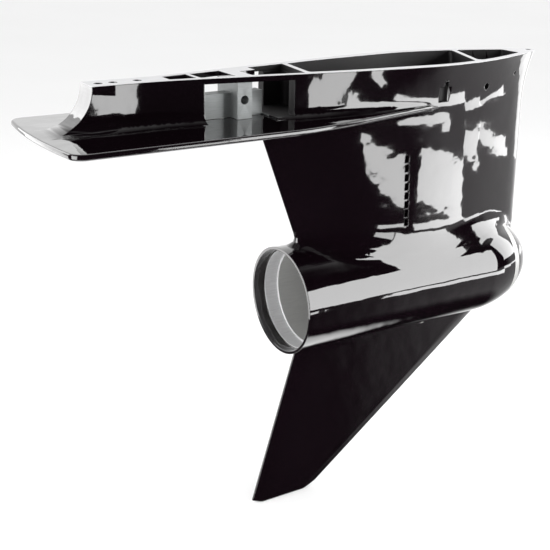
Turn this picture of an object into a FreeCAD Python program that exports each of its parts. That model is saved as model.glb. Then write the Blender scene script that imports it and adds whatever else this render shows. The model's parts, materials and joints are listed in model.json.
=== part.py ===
import FreeCAD, Part

import math
import os
import re

import Sketcher
from FreeCAD import Placement, Rotation, Vector

# Outboard lower unit: a bare, painted gearcase with the drive parts that stay in it when the propeller shaft
# cartridge is out. Millimetres. +X is forward, +Y is port, +Z is up. The origin is the drive shaft's axis at
# the machined deck, the face that bolts up under the middle section.

doc = FreeCAD.newDocument("outboard_lower_unit")
sheet = doc.addObject("Spreadsheet::Sheet", "sizes")

# Driving sizes: name, millimetres (or a plain count or ratio)
SIZES = {
    # deck, seen from above: half-widths at stations aft of the drive shaft
    "deck_tip_reach": 157.5,
    "deck_rear_reach": 419.0,
    "widest_station": 25.0,
    "deck_half": 58.5,
    "shoulder_station": 110.0,
    "shoulder_half": 51.0,
    "shoulder_tuck": 5.0,
    "rib_station": 200.0,
    "rib_half": 38.0,
    "window_station": 300.0,
    "window_half": 22.0,
    "neck_station": 365.0,
    "neck_half": 14.5,
    "deck_end_half": 15.5,
    "ramp_reach": 46.0,
    # strut
    "flare_depth": 62.0,
    "strut_half": 46.5,
    "strut_tip_reach": 145.5,
    "foot_half": 41.0,
    "foot_tip_reach": 152.0,
    "tail_reach": 236.0,
    "tail_rake": 0.375,
    "tail_half": 4.5,
    "foot_cove": 24.0,
    "tail_cove": 14.0,
    # plate above the propeller
    "plate_depth": 44.0,
    "plate_thickness": 6.0,
    "plate_half": 91.0,
    "plate_rear_reach": 474.0,
    "plate_corner": 14.0,
    "plate_bow": 7.0,
    "plate_taper_station": 238.0,
    "plate_waist_station": 110.0,
    "plate_waist_half": 67.0,
    "plate_tip_station": 5.0,
    "plate_tip_half": 40.0,
    "plate_edge_round": 2.2,
    "plate_cove": 8.0,
    # torpedo
    "shaft_drop": 261.0,
    "torpedo_radius": 62.0,
    "rim_reach": 200.0,
    "nose_station": 68.0,
    "nose_length": 92.0,
    "rim_bore_radius": 58.5,
    "rim_bore_depth": 14.0,
    "carrier_radius": 57.0,
    "carrier_land_depth": 31.0,
    "barrel_radius": 54.5,
    "barrel_depth": 155.0,
    "chamber_radius": 52.0,
    "chamber_front": 47.0,
    # skeg
    "skeg_depth": 517.5,
    "skeg_root_half": 7.0,
    "skeg_tip_half": 3.6,
    "skeg_nose_reach": 100.0,
    "skeg_nose_drop": 325.8,
    "skeg_nose_rake": 1.315,
    "skeg_heel_reach": 181.0,
    "skeg_heel_drop": 337.0,
    "skeg_heel_rake": 0.30,
    "skeg_toe_round": 9.0,
    "skeg_bevel": 24.0,
    "skeg_edge_half": 1.3,
    # cavities that open on the deck
    "deck_wall": 10.0,
    "rib_thickness": 6.0,
    "rear_rib_station": 186.0,
    "rear_rib_skew": 0.17,
    "front_rib_station": 45.0,
    "front_rib_skew": 0.41,
    "front_bay_reach": 120.0,
    "front_bay_depth": 72.0,
    "well_depth": 96.0,
    "well_rear_reach": 72.0,
    "well_half": 37.5,
    "well_nose_reach": 38.0,
    "well_corner": 3.0,
    "cavity_split_depth": 42.0,
    "exhaust_top_rear": 176.0,
    "exhaust_top_front": 82.0,
    "exhaust_foot_rear": 142.0,
    "exhaust_foot_front": 84.0,
    "cavity_corner": 5.0,
    # anode window in both side walls, its web and its clamp pad
    "window_rear": 305.0,
    "window_front": 210.0,
    "window_top": 5.5,
    "web_half": 7.0,
    "web_top": 18.5,
    "web_front": 231.0,
    "pad_rear": 268.0,
    "pad_front": 251.0,
    "pad_level": 21.0,
    "anode_bolt_radius": 4.5,
    "anode_bolt_depth": 24.5,
    "rear_bay_rear": 337.0,
    "rear_bay_floor": 6.0,
    "rear_bay_rib": 307.0,
    # deck holes
    "deck_hole_radius": 4.6,
    "deck_hole_depth": 26.0,
    "deck_hole_first": 407.0,
    "deck_hole_second": 392.0,
    "deck_hole_third": 367.0,
    "nose_hole_radius": 3.6,
    "nose_hole_reach": 149.0,
    "nose_hole_depth": 16.0,
    # side holes
    "scoop_station": 21.0,
    "scoop_radius": 8.5,
    "scoop_top": 25.0,
    "scoop_hole_radius": 4.2,
    "vent_reach": 48.0,
    "vent_drop": 31.0,
    "vent_radius": 4.0,
    "pitot_reach": 106.0,
    "pitot_drop": 22.0,
    "pitot_radius": 2.2,
    # water intake
    "intake_count": 8,
    "intake_pitch": 10.7,
    "intake_station": 66.0,
    "intake_top": 99.0,
    "intake_width": 5.6,
    "intake_height": 8.2,
    "intake_lean": 0.08,
    "gallery_width": 11.0,
    "gallery_half": 24.0,
    "gallery_depth": 182.0,
    "intake_ramp": 8.0,
    "intake_ramp_depth": 3.0,
    # bores round the drive shaft, as steps down from the pump well's floor
    "carrier_bore_radius": 30.0,
    "carrier_bore_depth": 12.0,
    "ring_nut_radius": 28.5,
    "ring_nut_height": 9.0,
    "ring_nut_hole_radius": 21.0,
    "ring_nut_slot": 5.0,
    "cup_radius": 27.5,
    "cup_height": 18.0,
    "gallery_radius": 15.0,
    "fit_gap": 0.05,
    "run_gap": 0.05,
    # drive shaft
    "shaft_top_drop": 34.0,
    "shaft_radius": 11.0,
    "spline_radius": 10.2,
    "spline_root_radius": 9.0,
    "spline_length": 24.0,
    "spline_teeth": 12,
    "journal_radius": 12.5,
    "waist_radius": 11.0,
    "seat_radius": 10.5,
    "thread_radius": 8.0,
    "shaft_tip_radius": 6.5,
    # needle bearing above the pinion
    "needle_shell_radius": 19.5,
    "needle_top_drop": 181.0,
    "needle_shell_height": 24.0,
    "needle_shell_wall": 1.6,
    "needle_lip_radius": 14.4,
    "needle_lip": 1.0,
    "needle_radius": 2.4,
    "needle_length": 18.0,
    "needle_count": 12,
    "needle_cage_wall": 1.4,
    "cage_gap": 0.3,
    # tapered bearing on the drive shaft, small end up
    "top_mean_radius": 19.5,
    "top_cup_angle": 12.0,
    "top_axis_angle": 10.0,
    "top_cone_angle": 8.0,
    "top_roller_length": 11.0,
    "top_roller_count": 12,
    # tapered bearing on the forward gear, small end forward
    "nose_cup_radius": 40.0,
    "nose_cup_width": 20.0,
    "nose_mean_radius": 30.0,
    "nose_cup_angle": 14.0,
    "nose_axis_angle": 12.0,
    "nose_cone_angle": 10.0,
    "nose_roller_length": 12.0,
    "nose_roller_count": 14,
    "shim_thickness": 1.2,
    "shim_hole_radius": 34.0,
    "cone_ledge": 0.5,
    "cone_rib": 2.1,
    "cone_rib_rise": 3.6,
    "cone_lip": 1.2,
    "cage_wall": 1.6,
    "cage_end": 2.2,
    # bevel gears
    "pinion_teeth": 14,
    "gear_teeth": 26,
    "gear_module": 3.6,
    "face_width": 15.0,
    "pressure_angle": 25.0,
    "tooth_backlash": 0.45,
    "pinion_addendum": 3.2,
    "gear_addendum": 1.7,
    "tooth_clearance": 0.7,
    "pinion_pocket_radius": 31.0,
    "pinion_hub_radius": 17.0,
    "pinion_back": 54.5,
    "pinion_face": 32.5,
    "pinion_nut_height": 9.0,
    "pinion_nut_half": 11.5,
    "gear_face": 17.0,
    "gear_rim_back": 33.0,
    "gear_shoulder": 47.5,
    "gear_shoulder_radius": 26.0,
    "gear_neck_radius": 21.0,
    "gear_neck_end": 69.5,
    "gear_bore_radius": 15.0,
    "gear_dog_radius": 20.0,
    "gear_dog_height": 3.5,
    "gear_dogs": 6,
    "bush_wall": 2.0,
    # seals over the upper bearing
    "seal_radius": 18.0,
    "seal_height": 4.4,
    "seal_skin": 1.2,
    "carrier_lip": 3.0,
    "carrier_lip_radius": 15.0,
    "ring_section": 1.5,
    # water pump
    "pump_gasket_thickness": 0.6,
    "pump_base_thickness": 4.0,
    "wear_plate_thickness": 1.0,
    "pump_plate_radius": 33.1,
    "liner_radius": 27.5,
    "liner_wall": 1.6,
    "liner_height": 20.0,
    "housing_wall": 4.0,
    "pump_offset": 1.8,
    "impeller_hub_radius": 16.0,
    "impeller_tip_radius": 25.3,
    "impeller_vanes": 6,
    "vane_thickness": 3.2,
    "impeller_end_gap": 0.1,
    "key_width": 4.0,
    "key_height": 14.0,
    "key_depth": 2.0,
    "shaft_pass_gap": 1.0,
    "pump_bolt_radius": 3.0,
    "pump_bolt_hole_gap": 0.3,
    "pump_bolt_grip": 14.0,
    "pump_bolt_head_half": 5.0,
    "pump_bolt_head_height": 4.0,
    "pump_front_x": 18.0,
    "pump_front_y": 29.5,
    "pump_rear_x": 26.0,
    "pump_rear_y": 24.5,
    "pump_ear_radius": 6.5,
    "outlet_x": 12.0,
    "outlet_y": 16.5,
    "outlet_radius": 8.5,
    "outlet_height": 9.0,
    "grommet_radius": 6.5,
    "grommet_hole_radius": 4.5,
    "inlet_length": 14.0,
    "inlet_width": 6.0,
    # shift linkage
    "shift_reach": 88.0,
    "shift_radius": 5.5,
    "shift_top_drop": 40.0,
    "shift_spline_length": 14.0,
    "shift_spline_radius": 4.8,
    "shift_bore_radius": 8.5,
    "shift_flange_radius": 15.5,
    "shift_flange_height": 7.0,
    "shift_sleeve_depth": 18.0,
    "shift_seal_radius": 9.0,
    "shift_seal_height": 4.5,
    "shift_screw_radius": 1.75,
    "shift_screw_reach": 12.2,
    "shift_screw_head_radius": 2.6,
    "shift_screw_head_height": 2.4,
    "shift_screw_grip": 8.0,
    "nose_cavity_radius": 27.0,
    "nose_cavity_front": 112.0,
    "shift_foot_depth": 10.0,
    "shift_foot_clear": 0.5,
    "cam_radius": 9.5,
    "cam_height": 26.0,
    "cam_finger_reach": 14.0,
    "cam_finger_width": 6.0,
    "clip_radius": 8.0,
    "clip_thickness": 1.2,
    # drain screw low on the starboard side
    "drain_reach": 12.0,
    "drain_angle": 20.0,
    "drain_thread_radius": 4.0,
    "drain_head_radius": 7.0,
    "drain_head_height": 3.4,
    "drain_washer_thickness": 1.0,
}

# Sizes that follow from those above
FOLLOWING = {
    "top_apex": "top_mean_radius / tan(top_axis_angle)",
    "nose_apex": "nose_mean_radius / tan(nose_axis_angle)",
    "nut_drop": "well_depth + carrier_bore_depth",
    "cup_drop": "nut_drop + ring_nut_height",
    "cup_foot_drop": "cup_drop + cup_height",
    "needle_foot_drop": "needle_top_drop + needle_shell_height",
    "needle_track_radius": "needle_shell_radius - needle_shell_wall",
    "needle_ring_radius": "needle_track_radius - run_gap - needle_radius",
    "needle_race_radius": "needle_ring_radius - needle_radius - run_gap",
    "pinion_back_drop": "shaft_drop - pinion_back",
    "pinion_face_drop": "shaft_drop - pinion_face",
    "pump_base_drop": "well_depth - pump_gasket_thickness",
    "wear_plate_drop": "pump_base_drop - pump_base_thickness",
    "liner_drop": "wear_plate_drop - wear_plate_thickness",
    "housing_radius": "liner_radius + liner_wall + housing_wall",
    "housing_height": "liner_height + liner_wall + housing_wall",
    "shift_foot_drop": "shaft_drop + nose_cavity_radius + shift_foot_depth",
    "cam_drop": "shaft_drop + cam_height / 2",
}

for row, (name, value) in enumerate(SIZES.items(), start=1):
    sheet.set(f"A{row}", name)
    sheet.set(f"B{row}", str(value))
    sheet.setAlias(f"B{row}", name)
for row, (name, formula) in enumerate(FOLLOWING.items(), start=len(SIZES) + 1):
    sheet.set(f"A{row}", name)
    sheet.set(f"B{row}", "=" + formula)
    sheet.setAlias(f"B{row}", name)
    sheet.recompute()
doc.recompute()


def size(name):
    return float(sheet.get(name))


def count(name):
    return int(round(size(name)))


AXIS_Z = -size("shaft_drop")
DOWN = Vector(0, 0, -1)
UP = Vector(0, 0, 1)
FORWARD = Vector(1, 0, 0)
BACKWARD = Vector(-1, 0, 0)

# Gearcase casting
# The strut's outline at a height is an ogive ahead of its widest station and a tapering tail behind it. The
# flare under the deck and the coves into the torpedo are worked into the same outlines, so that each skin is
# one loft.

FRONT_STEPS = (1.0, 0.72, 0.48, 0.27, 0.10, 0.025)
TAIL_STEPS = (0.4, 0.72)
NOSE_FULLNESS = 0.45


def ogive(step):
    return 1 - (1 - step) ** 2 + NOSE_FULLNESS * math.sqrt(step) * (1 - step) ** 6


def flare(z):
    return max(0.0, 1 + z / size("flare_depth")) ** 2


def foot_share(z):
    return max(0.0, (-z - size("flare_depth")) / (size("shaft_drop") - size("flare_depth")))


def tip_reach(z):
    straight = size("strut_tip_reach") + (size("foot_tip_reach") - size("strut_tip_reach")) * foot_share(z)
    return straight + (size("deck_tip_reach") - size("strut_tip_reach")) * flare(z)


def widest_half(z):
    straight = size("strut_half") + (size("foot_half") - size("strut_half")) * foot_share(z)
    return straight + (size("deck_half") - size("strut_half")) * flare(z)


def front_half(x, z):
    """Half-width of the outline at station x, ahead of the widest station."""
    length = tip_reach(z) + size("widest_station")
    return widest_half(z) * ogive(max(0.0, min(1.0, (tip_reach(z) - x) / length)))


def front_points(z):
    length = tip_reach(z) + size("widest_station")
    stations = [tip_reach(z) - length * step for step in FRONT_STEPS]
    return [(x, front_half(x, z)) for x in stations]


def torpedo_half(x):
    """Radius of the torpedo at station x."""
    along = (x - size("nose_station")) / size("nose_length")
    if along <= 0:
        return size("torpedo_radius")
    return size("torpedo_radius") * math.sqrt(max(0.0, 1 - along * along))


def coved(half, x, rise, cove):
    """Half-width of a fin, at a height above or below the torpedo's axis, where it runs into the torpedo."""
    hull = torpedo_half(x)
    if half >= hull:
        return half
    start = math.sqrt((hull + cove) ** 2 - (half + cove) ** 2)
    if rise >= start:
        return half
    touch = start * hull / (hull + cove)
    if rise >= touch:
        return half + cove - math.sqrt(cove * cove - (start - rise) ** 2)
    return (half + cove) * hull / (hull + cove)


def tail_sweep(z):
    """How far the strut's trailing edge sweeps aft on its way down on to the torpedo's back."""
    cove = size("tail_cove")
    into = AXIS_Z + size("torpedo_radius") + cove - z
    into = max(0.0, min(cove, into))
    return cove - math.sqrt(cove * cove - into * into)


def spacing(points):
    """Running length along a list of points: curves that share it keep their points in step in a loft."""
    marks = [0.0]
    for here, there in zip(points, points[1:]):
        marks.append(marks[-1] + here.distanceToPoint(there))
    return marks


def curve_through(points, pattern, start, end):
    """Smooth edge through the points, leaving and arriving along the given directions."""
    curve = Part.BSplineCurve()
    curve.interpolate(
        Points=points, Parameters=spacing(pattern), InitialTangent=start, FinalTangent=end
    )
    return curve.toShape()


def nose_line(z):
    """Points round the front of the outline, from the widest station to port to the one to starboard."""
    port = front_points(z)
    rise = z - AXIS_Z
    coved_port = []
    for station, half in port:
        cove = min(size("foot_cove"), 4 + 0.4 * (tip_reach(z) - station))
        coved_port.append((station, coved(half, station, rise, cove)))
    points = [Vector(x, half, z) for x, half in coved_port]
    points.append(Vector(tip_reach(z), 0, z))
    return points + [Vector(x, -half, z) for x, half in reversed(coved_port)]


def nose_edge(z):
    pattern = nose_line(-size("flare_depth"))
    return curve_through(nose_line(z), pattern, FORWARD, BACKWARD)


def flank_edges(port, pattern):
    """The two edges of an outline behind its widest station, from the port points given front to rear."""
    mirrored = [Vector(point.x, -point.y, point.z) for point in reversed(port)]
    back = [Vector(point.x, -point.y, point.z) for point in reversed(pattern)]
    arrive = port[-1] - port[-2]
    leave = mirrored[1] - mirrored[0]
    return curve_through(port, pattern, BACKWARD, arrive), curve_through(mirrored, back, leave, FORWARD)


def tail_line(z):
    """Port points of the strut behind its widest station, down to its rounded trailing edge."""
    rise = z - AXIS_Z
    raked = -size("tail_reach") + size("tail_rake") * (-z - size("plate_depth"))
    length = -size("widest_station") - raked
    tail = coved(size("tail_half"), raked, rise, size("tail_cove"))
    cove = size("foot_cove")
    points = [Vector(-size("widest_station"), coved(widest_half(z), 0, rise, cove), z)]
    for step in TAIL_STEPS:
        half = size("tail_half") + (widest_half(z) - size("tail_half")) * (1 - step**2)
        points.append(Vector(-size("widest_station") - length * step, coved(half, 0, rise, cove), z))
    points.append(Vector(raked - tail_sweep(z) + 0.65 * tail, tail, z))
    return points


def strut_outline(z):
    port = tail_line(z)
    side, back = flank_edges(port, tail_line(-size("flare_depth")))
    last = port[-1]
    end = Part.Arc(last, Vector(last.x - 0.65 * last.y, 0, z), Vector(last.x, -last.y, z)).toShape()
    return Part.Wire([side, end, back, nose_edge(z)])


def wall_stations(z):
    """Stations and half-widths of the side walls at a height, from the widest station to the rear end."""
    shoulder = size("shoulder_half") - size("shoulder_tuck") * (1 - flare(z))
    return [
        (-size("widest_station"), widest_half(z)),
        (-size("shoulder_station"), shoulder),
        (-size("rib_station"), size("rib_half")),
        (-size("window_station"), size("window_half")),
        (-size("neck_station"), size("neck_half")),
        (-size("deck_rear_reach"), size("deck_end_half")),
        (-size("deck_rear_reach") - size("ramp_reach"), size("deck_end_half")),
    ]


def deck_line(z):
    """Port points of the side walls, with the cove on to the plate growing behind the widest station."""
    cove = size("plate_cove")
    into = max(0.0, min(cove, -z - size("plate_depth") + cove))
    spread = cove - math.sqrt(cove * cove - into * into)
    shares = (0, 0.6, 1, 1, 1, 1, 1)
    return [Vector(x, half + spread * share, z) for (x, half), share in zip(wall_stations(z), shares)]


def deck_outline(z):
    port = deck_line(z)
    side, back = flank_edges(port, deck_line(0))
    last = port[-1]
    end = Part.LineSegment(last, Vector(last.x, -last.y, z)).toShape()
    return Part.Wire([side, end, back, nose_edge(z)])


def lofted(wires, ruled=False):
    return Part.makeLoft(wires, True, ruled)


def walls():
    """Side walls from the deck down into the plate, with the hollow ramp at their rear end cut away."""
    depth = size("plate_depth")
    cove = size("plate_cove")
    levels = [depth * step / 4 for step in range(4)] + [depth - cove]
    levels += [depth - cove + cove * math.sin(math.radians(turn)) for turn in (25, 50, 70, 90)]
    levels.append(depth + size("plate_thickness") / 2)
    block = lofted([deck_outline(-level) for level in levels], True)
    ramp = Part.Ellipse(Vector(0, 0, 0), size("ramp_reach"), size("plate_depth"))
    hollow = Part.Face(Part.Wire([ramp.toShape()])).extrude(Vector(0, 0, 2 * size("plate_half")))
    hollow.rotate(Vector(0, 0, 0), FORWARD, 90)
    hollow.translate(Vector(-size("deck_rear_reach") - size("ramp_reach"), size("plate_half"), 0))
    return block.cut(hollow)


def strut():
    top = size("plate_depth") + size("plate_thickness") / 2
    cove_top = size("shaft_drop") - size("torpedo_radius") - size("foot_cove") * 1.1
    cove_foot = size("shaft_drop") - size("torpedo_radius") * 0.3
    steps = 13
    levels = [top, (top + size("flare_depth")) / 2, size("flare_depth")]
    levels += [cove_top + (cove_foot - cove_top) * step / steps for step in range(steps + 1)]
    return lofted([strut_outline(-level) for level in levels], True)


def extruded(wire, vector):
    return Part.Face(wire).extrude(vector)


def plate():
    top = -size("plate_depth")
    bottom = Vector(0, 0, top - size("plate_thickness"))
    half = size("plate_half")
    rear = -size("plate_rear_reach")
    taper = [
        Vector(-size("plate_taper_station"), half, 0),
        Vector(-size("plate_waist_station"), size("plate_waist_half"), 0),
        Vector(-size("plate_tip_station"), size("plate_tip_half"), 0),
    ]
    side = Part.BSplineCurve()
    side.interpolate(Points=taper, InitialTangent=Vector(1, -0.06, 0), FinalTangent=Vector(1, -0.35, 0))
    bow = size("plate_bow")
    rear_port = Vector(rear + bow, half, 0)
    rear_arc = Part.Arc(rear_port, Vector(rear, 0, 0), Vector(rear + bow, -half, 0))
    port = [Part.LineSegment(rear_port, taper[0]).toShape(), side.toShape()]
    starboard = [edge.mirror(Vector(0, 0, 0), Vector(0, 1, 0)) for edge in port]
    front = Part.LineSegment(taper[-1], Vector(taper[-1].x, -taper[-1].y, 0)).toShape()
    wire = Part.Wire(Part.__sortEdges__([rear_arc.toShape()] + port + [front] + starboard))
    wire.translate(bottom)
    slab = extruded(wire, Vector(0, 0, size("plate_thickness")))
    corners = [edge for edge in slab.Edges if edge.BoundBox.XMax < rear + bow + 1 and edge.BoundBox.YLength < 0.01]
    slab = slab.makeFillet(size("plate_corner"), corners)
    rim = [edge for edge in slab.Edges if edge.BoundBox.ZLength < 0.01 and edge.BoundBox.XMin < taper[-1].x - 1]
    return slab.makeFillet(size("plate_edge_round"), rim)


def torpedo():
    radius = size("torpedo_radius")
    rear = Vector(-size("rim_reach"), 0, 0)
    shoulder = size("nose_station")
    steps = 8
    turns = [math.pi / 2 * step / steps for step in range(steps + 1)]
    nose_points = [
        Vector(shoulder + size("nose_length") * math.sin(turn), 0, -radius * math.cos(turn)) for turn in turns
    ]
    nose = Part.BSplineCurve()
    nose.interpolate(Points=nose_points, InitialTangent=Vector(1, 0, 0), FinalTangent=Vector(0, 0, 1))
    rim = Vector(rear.x, 0, -radius)
    edges = [
        Part.LineSegment(rear, rim).toShape(),
        Part.LineSegment(rim, nose_points[0]).toShape(),
        nose.toShape(),
        Part.LineSegment(nose_points[-1], rear).toShape(),
    ]
    body = Part.Face(Part.Wire(edges)).revolve(Vector(0, 0, 0), Vector(1, 0, 0), 360)
    body.translate(Vector(0, 0, AXIS_Z))
    return body


def skeg_outline(z):
    """Section of the skeg at a height: flat sides with a long bevel to a blunt edge, front and rear."""
    down = -z
    front = size("skeg_nose_reach") - (down - size("skeg_nose_drop")) * size("skeg_nose_rake")
    rear = -size("skeg_heel_reach") - (down - size("skeg_heel_drop")) * size("skeg_heel_rake")
    share = (down - size("shaft_drop")) / (size("skeg_depth") - size("shaft_drop"))
    half = size("skeg_root_half") + (size("skeg_tip_half") - size("skeg_root_half")) * share
    bevel = size("skeg_bevel") * (1 - 0.5 * share)
    edge = size("skeg_edge_half")
    port = [(rear, edge), (rear + bevel, half), (front - bevel, half), (front, edge)]
    points = [Vector(x, y, z) for x, y in port] + [Vector(x, -y, z) for x, y in reversed(port)]
    return Part.makePolygon(points + points[:1])


def skeg():
    start = size("shaft_drop") + size("torpedo_radius") * 0.72
    low = -size("skeg_depth")
    rounding = size("skeg_toe_round")
    blade = lofted([skeg_outline(-start), skeg_outline(low)], True)
    front = size("skeg_nose_reach") - (-low - size("skeg_nose_drop")) * size("skeg_nose_rake")
    rear = -size("skeg_heel_reach") - (-low - size("skeg_heel_drop")) * size("skeg_heel_rake")
    heel = Vector(rear - 4, 0, low + rounding * 0.7)
    toe = Vector(front + rounding, 0, low + rounding * 0.7)
    sole = Part.Arc(heel, Vector(rear + rounding, 0, low + 1.2), Vector((rear + front) / 2, 0, low))
    lift = Part.Arc(Vector((rear + front) / 2, 0, low), Vector(front - rounding, 0, low + 0.6), toe)
    reach = size("nose_station") + size("nose_length")
    corners = [toe, Vector(reach, 0, toe.z), Vector(reach, 0, -start), Vector(heel.x, 0, -start), heel]
    edges = [sole.toShape(), lift.toShape()]
    edges += [Part.LineSegment(a, b).toShape() for a, b in zip(corners, corners[1:])]
    room = extruded(Part.Wire(edges), Vector(0, 40, 0))
    room.translate(Vector(0, -20, 0))
    return blade.common(room)


# Cavities of the casting

def wall_half(x, z):
    """Half-width of the outer skin at a station and height, on the side walls or ahead of them."""
    stations = wall_stations(z)
    if x >= stations[0][0]:
        return front_half(x, z)
    for (x0, half0), (x1, half1) in zip(stations, stations[1:]):
        if x >= x1:
            return half0 + (half1 - half0) * (x - x0) / (x1 - x0)
    return stations[-1][1]


def station_half(x):
    return wall_half(x, 0)


def rib_side(station, skew, y):
    return station + skew * y


def prism(corners, z0, z1):
    """Upright solid between two heights on a closed list of plan corners."""
    points = [Vector(x, y, z0) for x, y in corners]
    return extruded(Part.makePolygon(points + points[:1]), Vector(0, 0, z1 - z0))


def rounded_prism(corners, z0, z1, radius):
    block = prism(corners, z0, z1)
    uprights = [edge for edge in block.Edges if edge.BoundBox.XLength < 0.01 and edge.BoundBox.YLength < 0.01]
    return block.makeFillet(radius, uprights)


def bay(rear, rear_skew, front, front_skew, middle, floor):
    """Deck opening between two slanted ribs, a wall's thickness inside the skin all the way down."""
    wall = size("deck_wall")

    def plan(z):
        deep = min(z, 0)
        sides = []
        for side in (1, -1):
            start = rib_side(rear, rear_skew, side * (wall_half(rear, 0) - wall))
            end = rib_side(front, front_skew, side * (wall_half(front, 0) - wall))
            stations = [start] + middle + [end]
            sides.append([Vector(x, side * (wall_half(x, deep) - wall), z) for x in stations])
        port, starboard = sides
        curves = []
        for line in (port, starboard):
            curve = Part.BSplineCurve()
            curve.interpolate(line)
            curves.append(curve.toShape())
        ribs = [Part.LineSegment(port[end], starboard[end]).toShape() for end in (-1, 0)]
        return Part.Wire(Part.__sortEdges__([curves[0], ribs[0], curves[1], ribs[1]]))

    block = lofted([plan(1), plan(floor)], True)
    uprights = [edge for edge in block.Edges if edge.BoundBox.ZLength > 1 and edge.BoundBox.XLength < 4]
    return block.makeFillet(size("cavity_corner"), uprights)


def main_bay():
    """The long opening: one shallow bay under the deck, over the exhaust passage and the pump well."""
    half_rib = size("rib_thickness") / 2
    rear = -size("rear_rib_station") + half_rib
    front = size("front_rib_station") - half_rib
    middle = [-size("shoulder_station"), -65.0, -size("widest_station"), 8.0]
    return bay(
        rear, size("rear_rib_skew"), front, size("front_rib_skew"), middle, -size("cavity_split_depth")
    )


def front_bay():
    rear = size("front_rib_station") + size("rib_thickness") / 2
    middle = [80.0, 100.0]
    return bay(rear, size("front_rib_skew"), size("front_bay_reach"), 0, middle, -size("front_bay_depth"))


def box(x0, x1, y0, y1, z0, z1):
    return Part.makeBox(x1 - x0, y1 - y0, z1 - z0, Vector(x0, y0, z0))


def pump_well():
    """Well round the water pump, with a square end aft and a slanted end behind the front bay."""
    wide = size("well_half")
    rear = -size("well_rear_reach")
    nose = size("well_nose_reach")
    shoulder = size("pump_front_x") + size("pump_ear_radius") + 0.5
    corners = [(rear, wide - 6), (-30, wide), (shoulder, wide), (nose, wide * 0.64), (nose - 2, -wide * 0.15)]
    corners += [(shoulder, 2 - wide), (shoulder - 6, -wide), (-30, -wide), (rear, 6 - wide)]
    return rounded_prism(corners, -size("cavity_split_depth") + 1, -size("well_depth"), size("well_corner"))


def exhaust_passage():
    """Tapered duct from the long deck opening down into the top of the torpedo's barrel."""
    top = -size("cavity_split_depth") + 1
    foot = AXIS_Z + size("barrel_radius") - 8
    rear, front = size("exhaust_top_rear"), size("exhaust_top_front")
    foot_rear, foot_front = size("exhaust_foot_rear"), size("exhaust_foot_front")

    def throat(x0, half0, x1, half1, z):
        points = [Vector(-x0, half0, z), Vector(-x1, half1, z), Vector(-x1, -half1, z), Vector(-x0, -half0, z)]
        return Part.makePolygon(points + points[:1])

    upper = throat(rear, 17, front, 33, top)
    middle = throat((rear + foot_rear) / 2, 10, front + 1, 29, (top + foot) / 2)
    lower = throat(foot_rear, 6, foot_front, 22, foot)
    return lofted([upper, middle, lower], True)


def window_cut(side):
    """Anode window in one side wall, down to the web, with the clamp pad left standing."""
    floor = -size("plate_depth")
    reach = size("rib_half") + 20
    rear, front = -size("window_rear"), -size("window_front")
    top = -size("window_top")
    web = size("web_half")
    behind = box(rear, -size("pad_rear"), web, reach, floor, top)
    between = box(-size("pad_front"), -size("web_front"), web, reach, floor, top)
    ahead = box(-size("web_front"), front, web * 0.4, reach, floor + 2, top)
    pad_face = box(-size("pad_rear") - 1, -size("pad_front") + 1, size("pad_level"), reach, floor, top)
    cut = behind.fuse([between, ahead, pad_face])
    if side < 0:
        cut = cut.mirror(Vector(0, 0, 0), Vector(0, 1, 0))
    return cut


def anode_slots():
    """See-through gaps above the web, and the two bays that open on the deck above them."""
    web = size("web_half") + 1
    top = -size("window_top")
    crest = -size("web_top")
    rear_gap = box(-size("rear_bay_rib") + 3, -size("pad_rear"), -web, web, crest, top)
    front_gap = box(-size("pad_front"), -size("web_front"), -web, web, crest, top)
    wall = size("deck_wall") * 0.8
    shallow_rear = -size("rear_bay_rear")
    rib = -size("rear_bay_rib")
    rear_half = station_half(shallow_rear) - wall
    rib_half = station_half(rib) - wall
    pad_half = station_half(-size("pad_rear")) - wall
    shallow = prism(
        [(shallow_rear, rear_half), (rib - 2, rib_half), (rib - 2, -rib_half), (shallow_rear, -rear_half)],
        1,
        -size("rear_bay_floor"),
    )
    over_web = prism(
        [
            (rib + 2, rib_half),
            (-size("pad_rear"), pad_half),
            (-size("pad_rear"), -pad_half),
            (rib + 2, -rib_half),
        ],
        1,
        top - 1,
    )
    front_pad = station_half(-size("pad_front")) - wall
    rib_rear = -size("rear_rib_station") - size("rib_thickness") / 2
    step = -size("web_front")
    step_half = station_half(step) - wall
    rib_end = station_half(rib_rear) - wall
    skew = size("rear_rib_skew")
    over_front = prism(
        [
            (-size("pad_front"), front_pad * 0.35),
            (step, step_half * 0.35),
            (step, step_half),
            (rib_side(rib_rear, skew, rib_end), rib_end),
            (rib_side(rib_rear, skew, -rib_end), -rib_end),
            (step, -step_half),
            (-size("pad_front"), -front_pad),
        ],
        1,
        top - 1,
    )
    deep = prism(
        [
            (step, web),
            (-size("window_front"), rib_end - 6),
            (rib_side(rib_rear, skew, rib_end) - 1, rib_end),
            (rib_side(rib_rear, skew, -rib_end) - 1, -rib_end),
            (-size("window_front"), 6 - rib_end),
            (step, -web),
        ],
        top,
        -size("plate_depth") + 2,
    )
    return [rear_gap, front_gap, shallow, over_web, over_front, deep]


def drill(x, y, z, radius, length, direction):
    return Part.makeCylinder(radius, length, Vector(x, y, z), direction)


def deck_holes():
    holes = []
    for name in ("deck_hole_first", "deck_hole_second", "deck_hole_third"):
        holes.append(drill(-size(name), 0, 1, size("deck_hole_radius"), size("deck_hole_depth") + 1, DOWN))
    holes.append(drill(size("nose_hole_reach"), 0, 1, size("nose_hole_radius"), size("nose_hole_depth") + 1, DOWN))
    return holes


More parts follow.
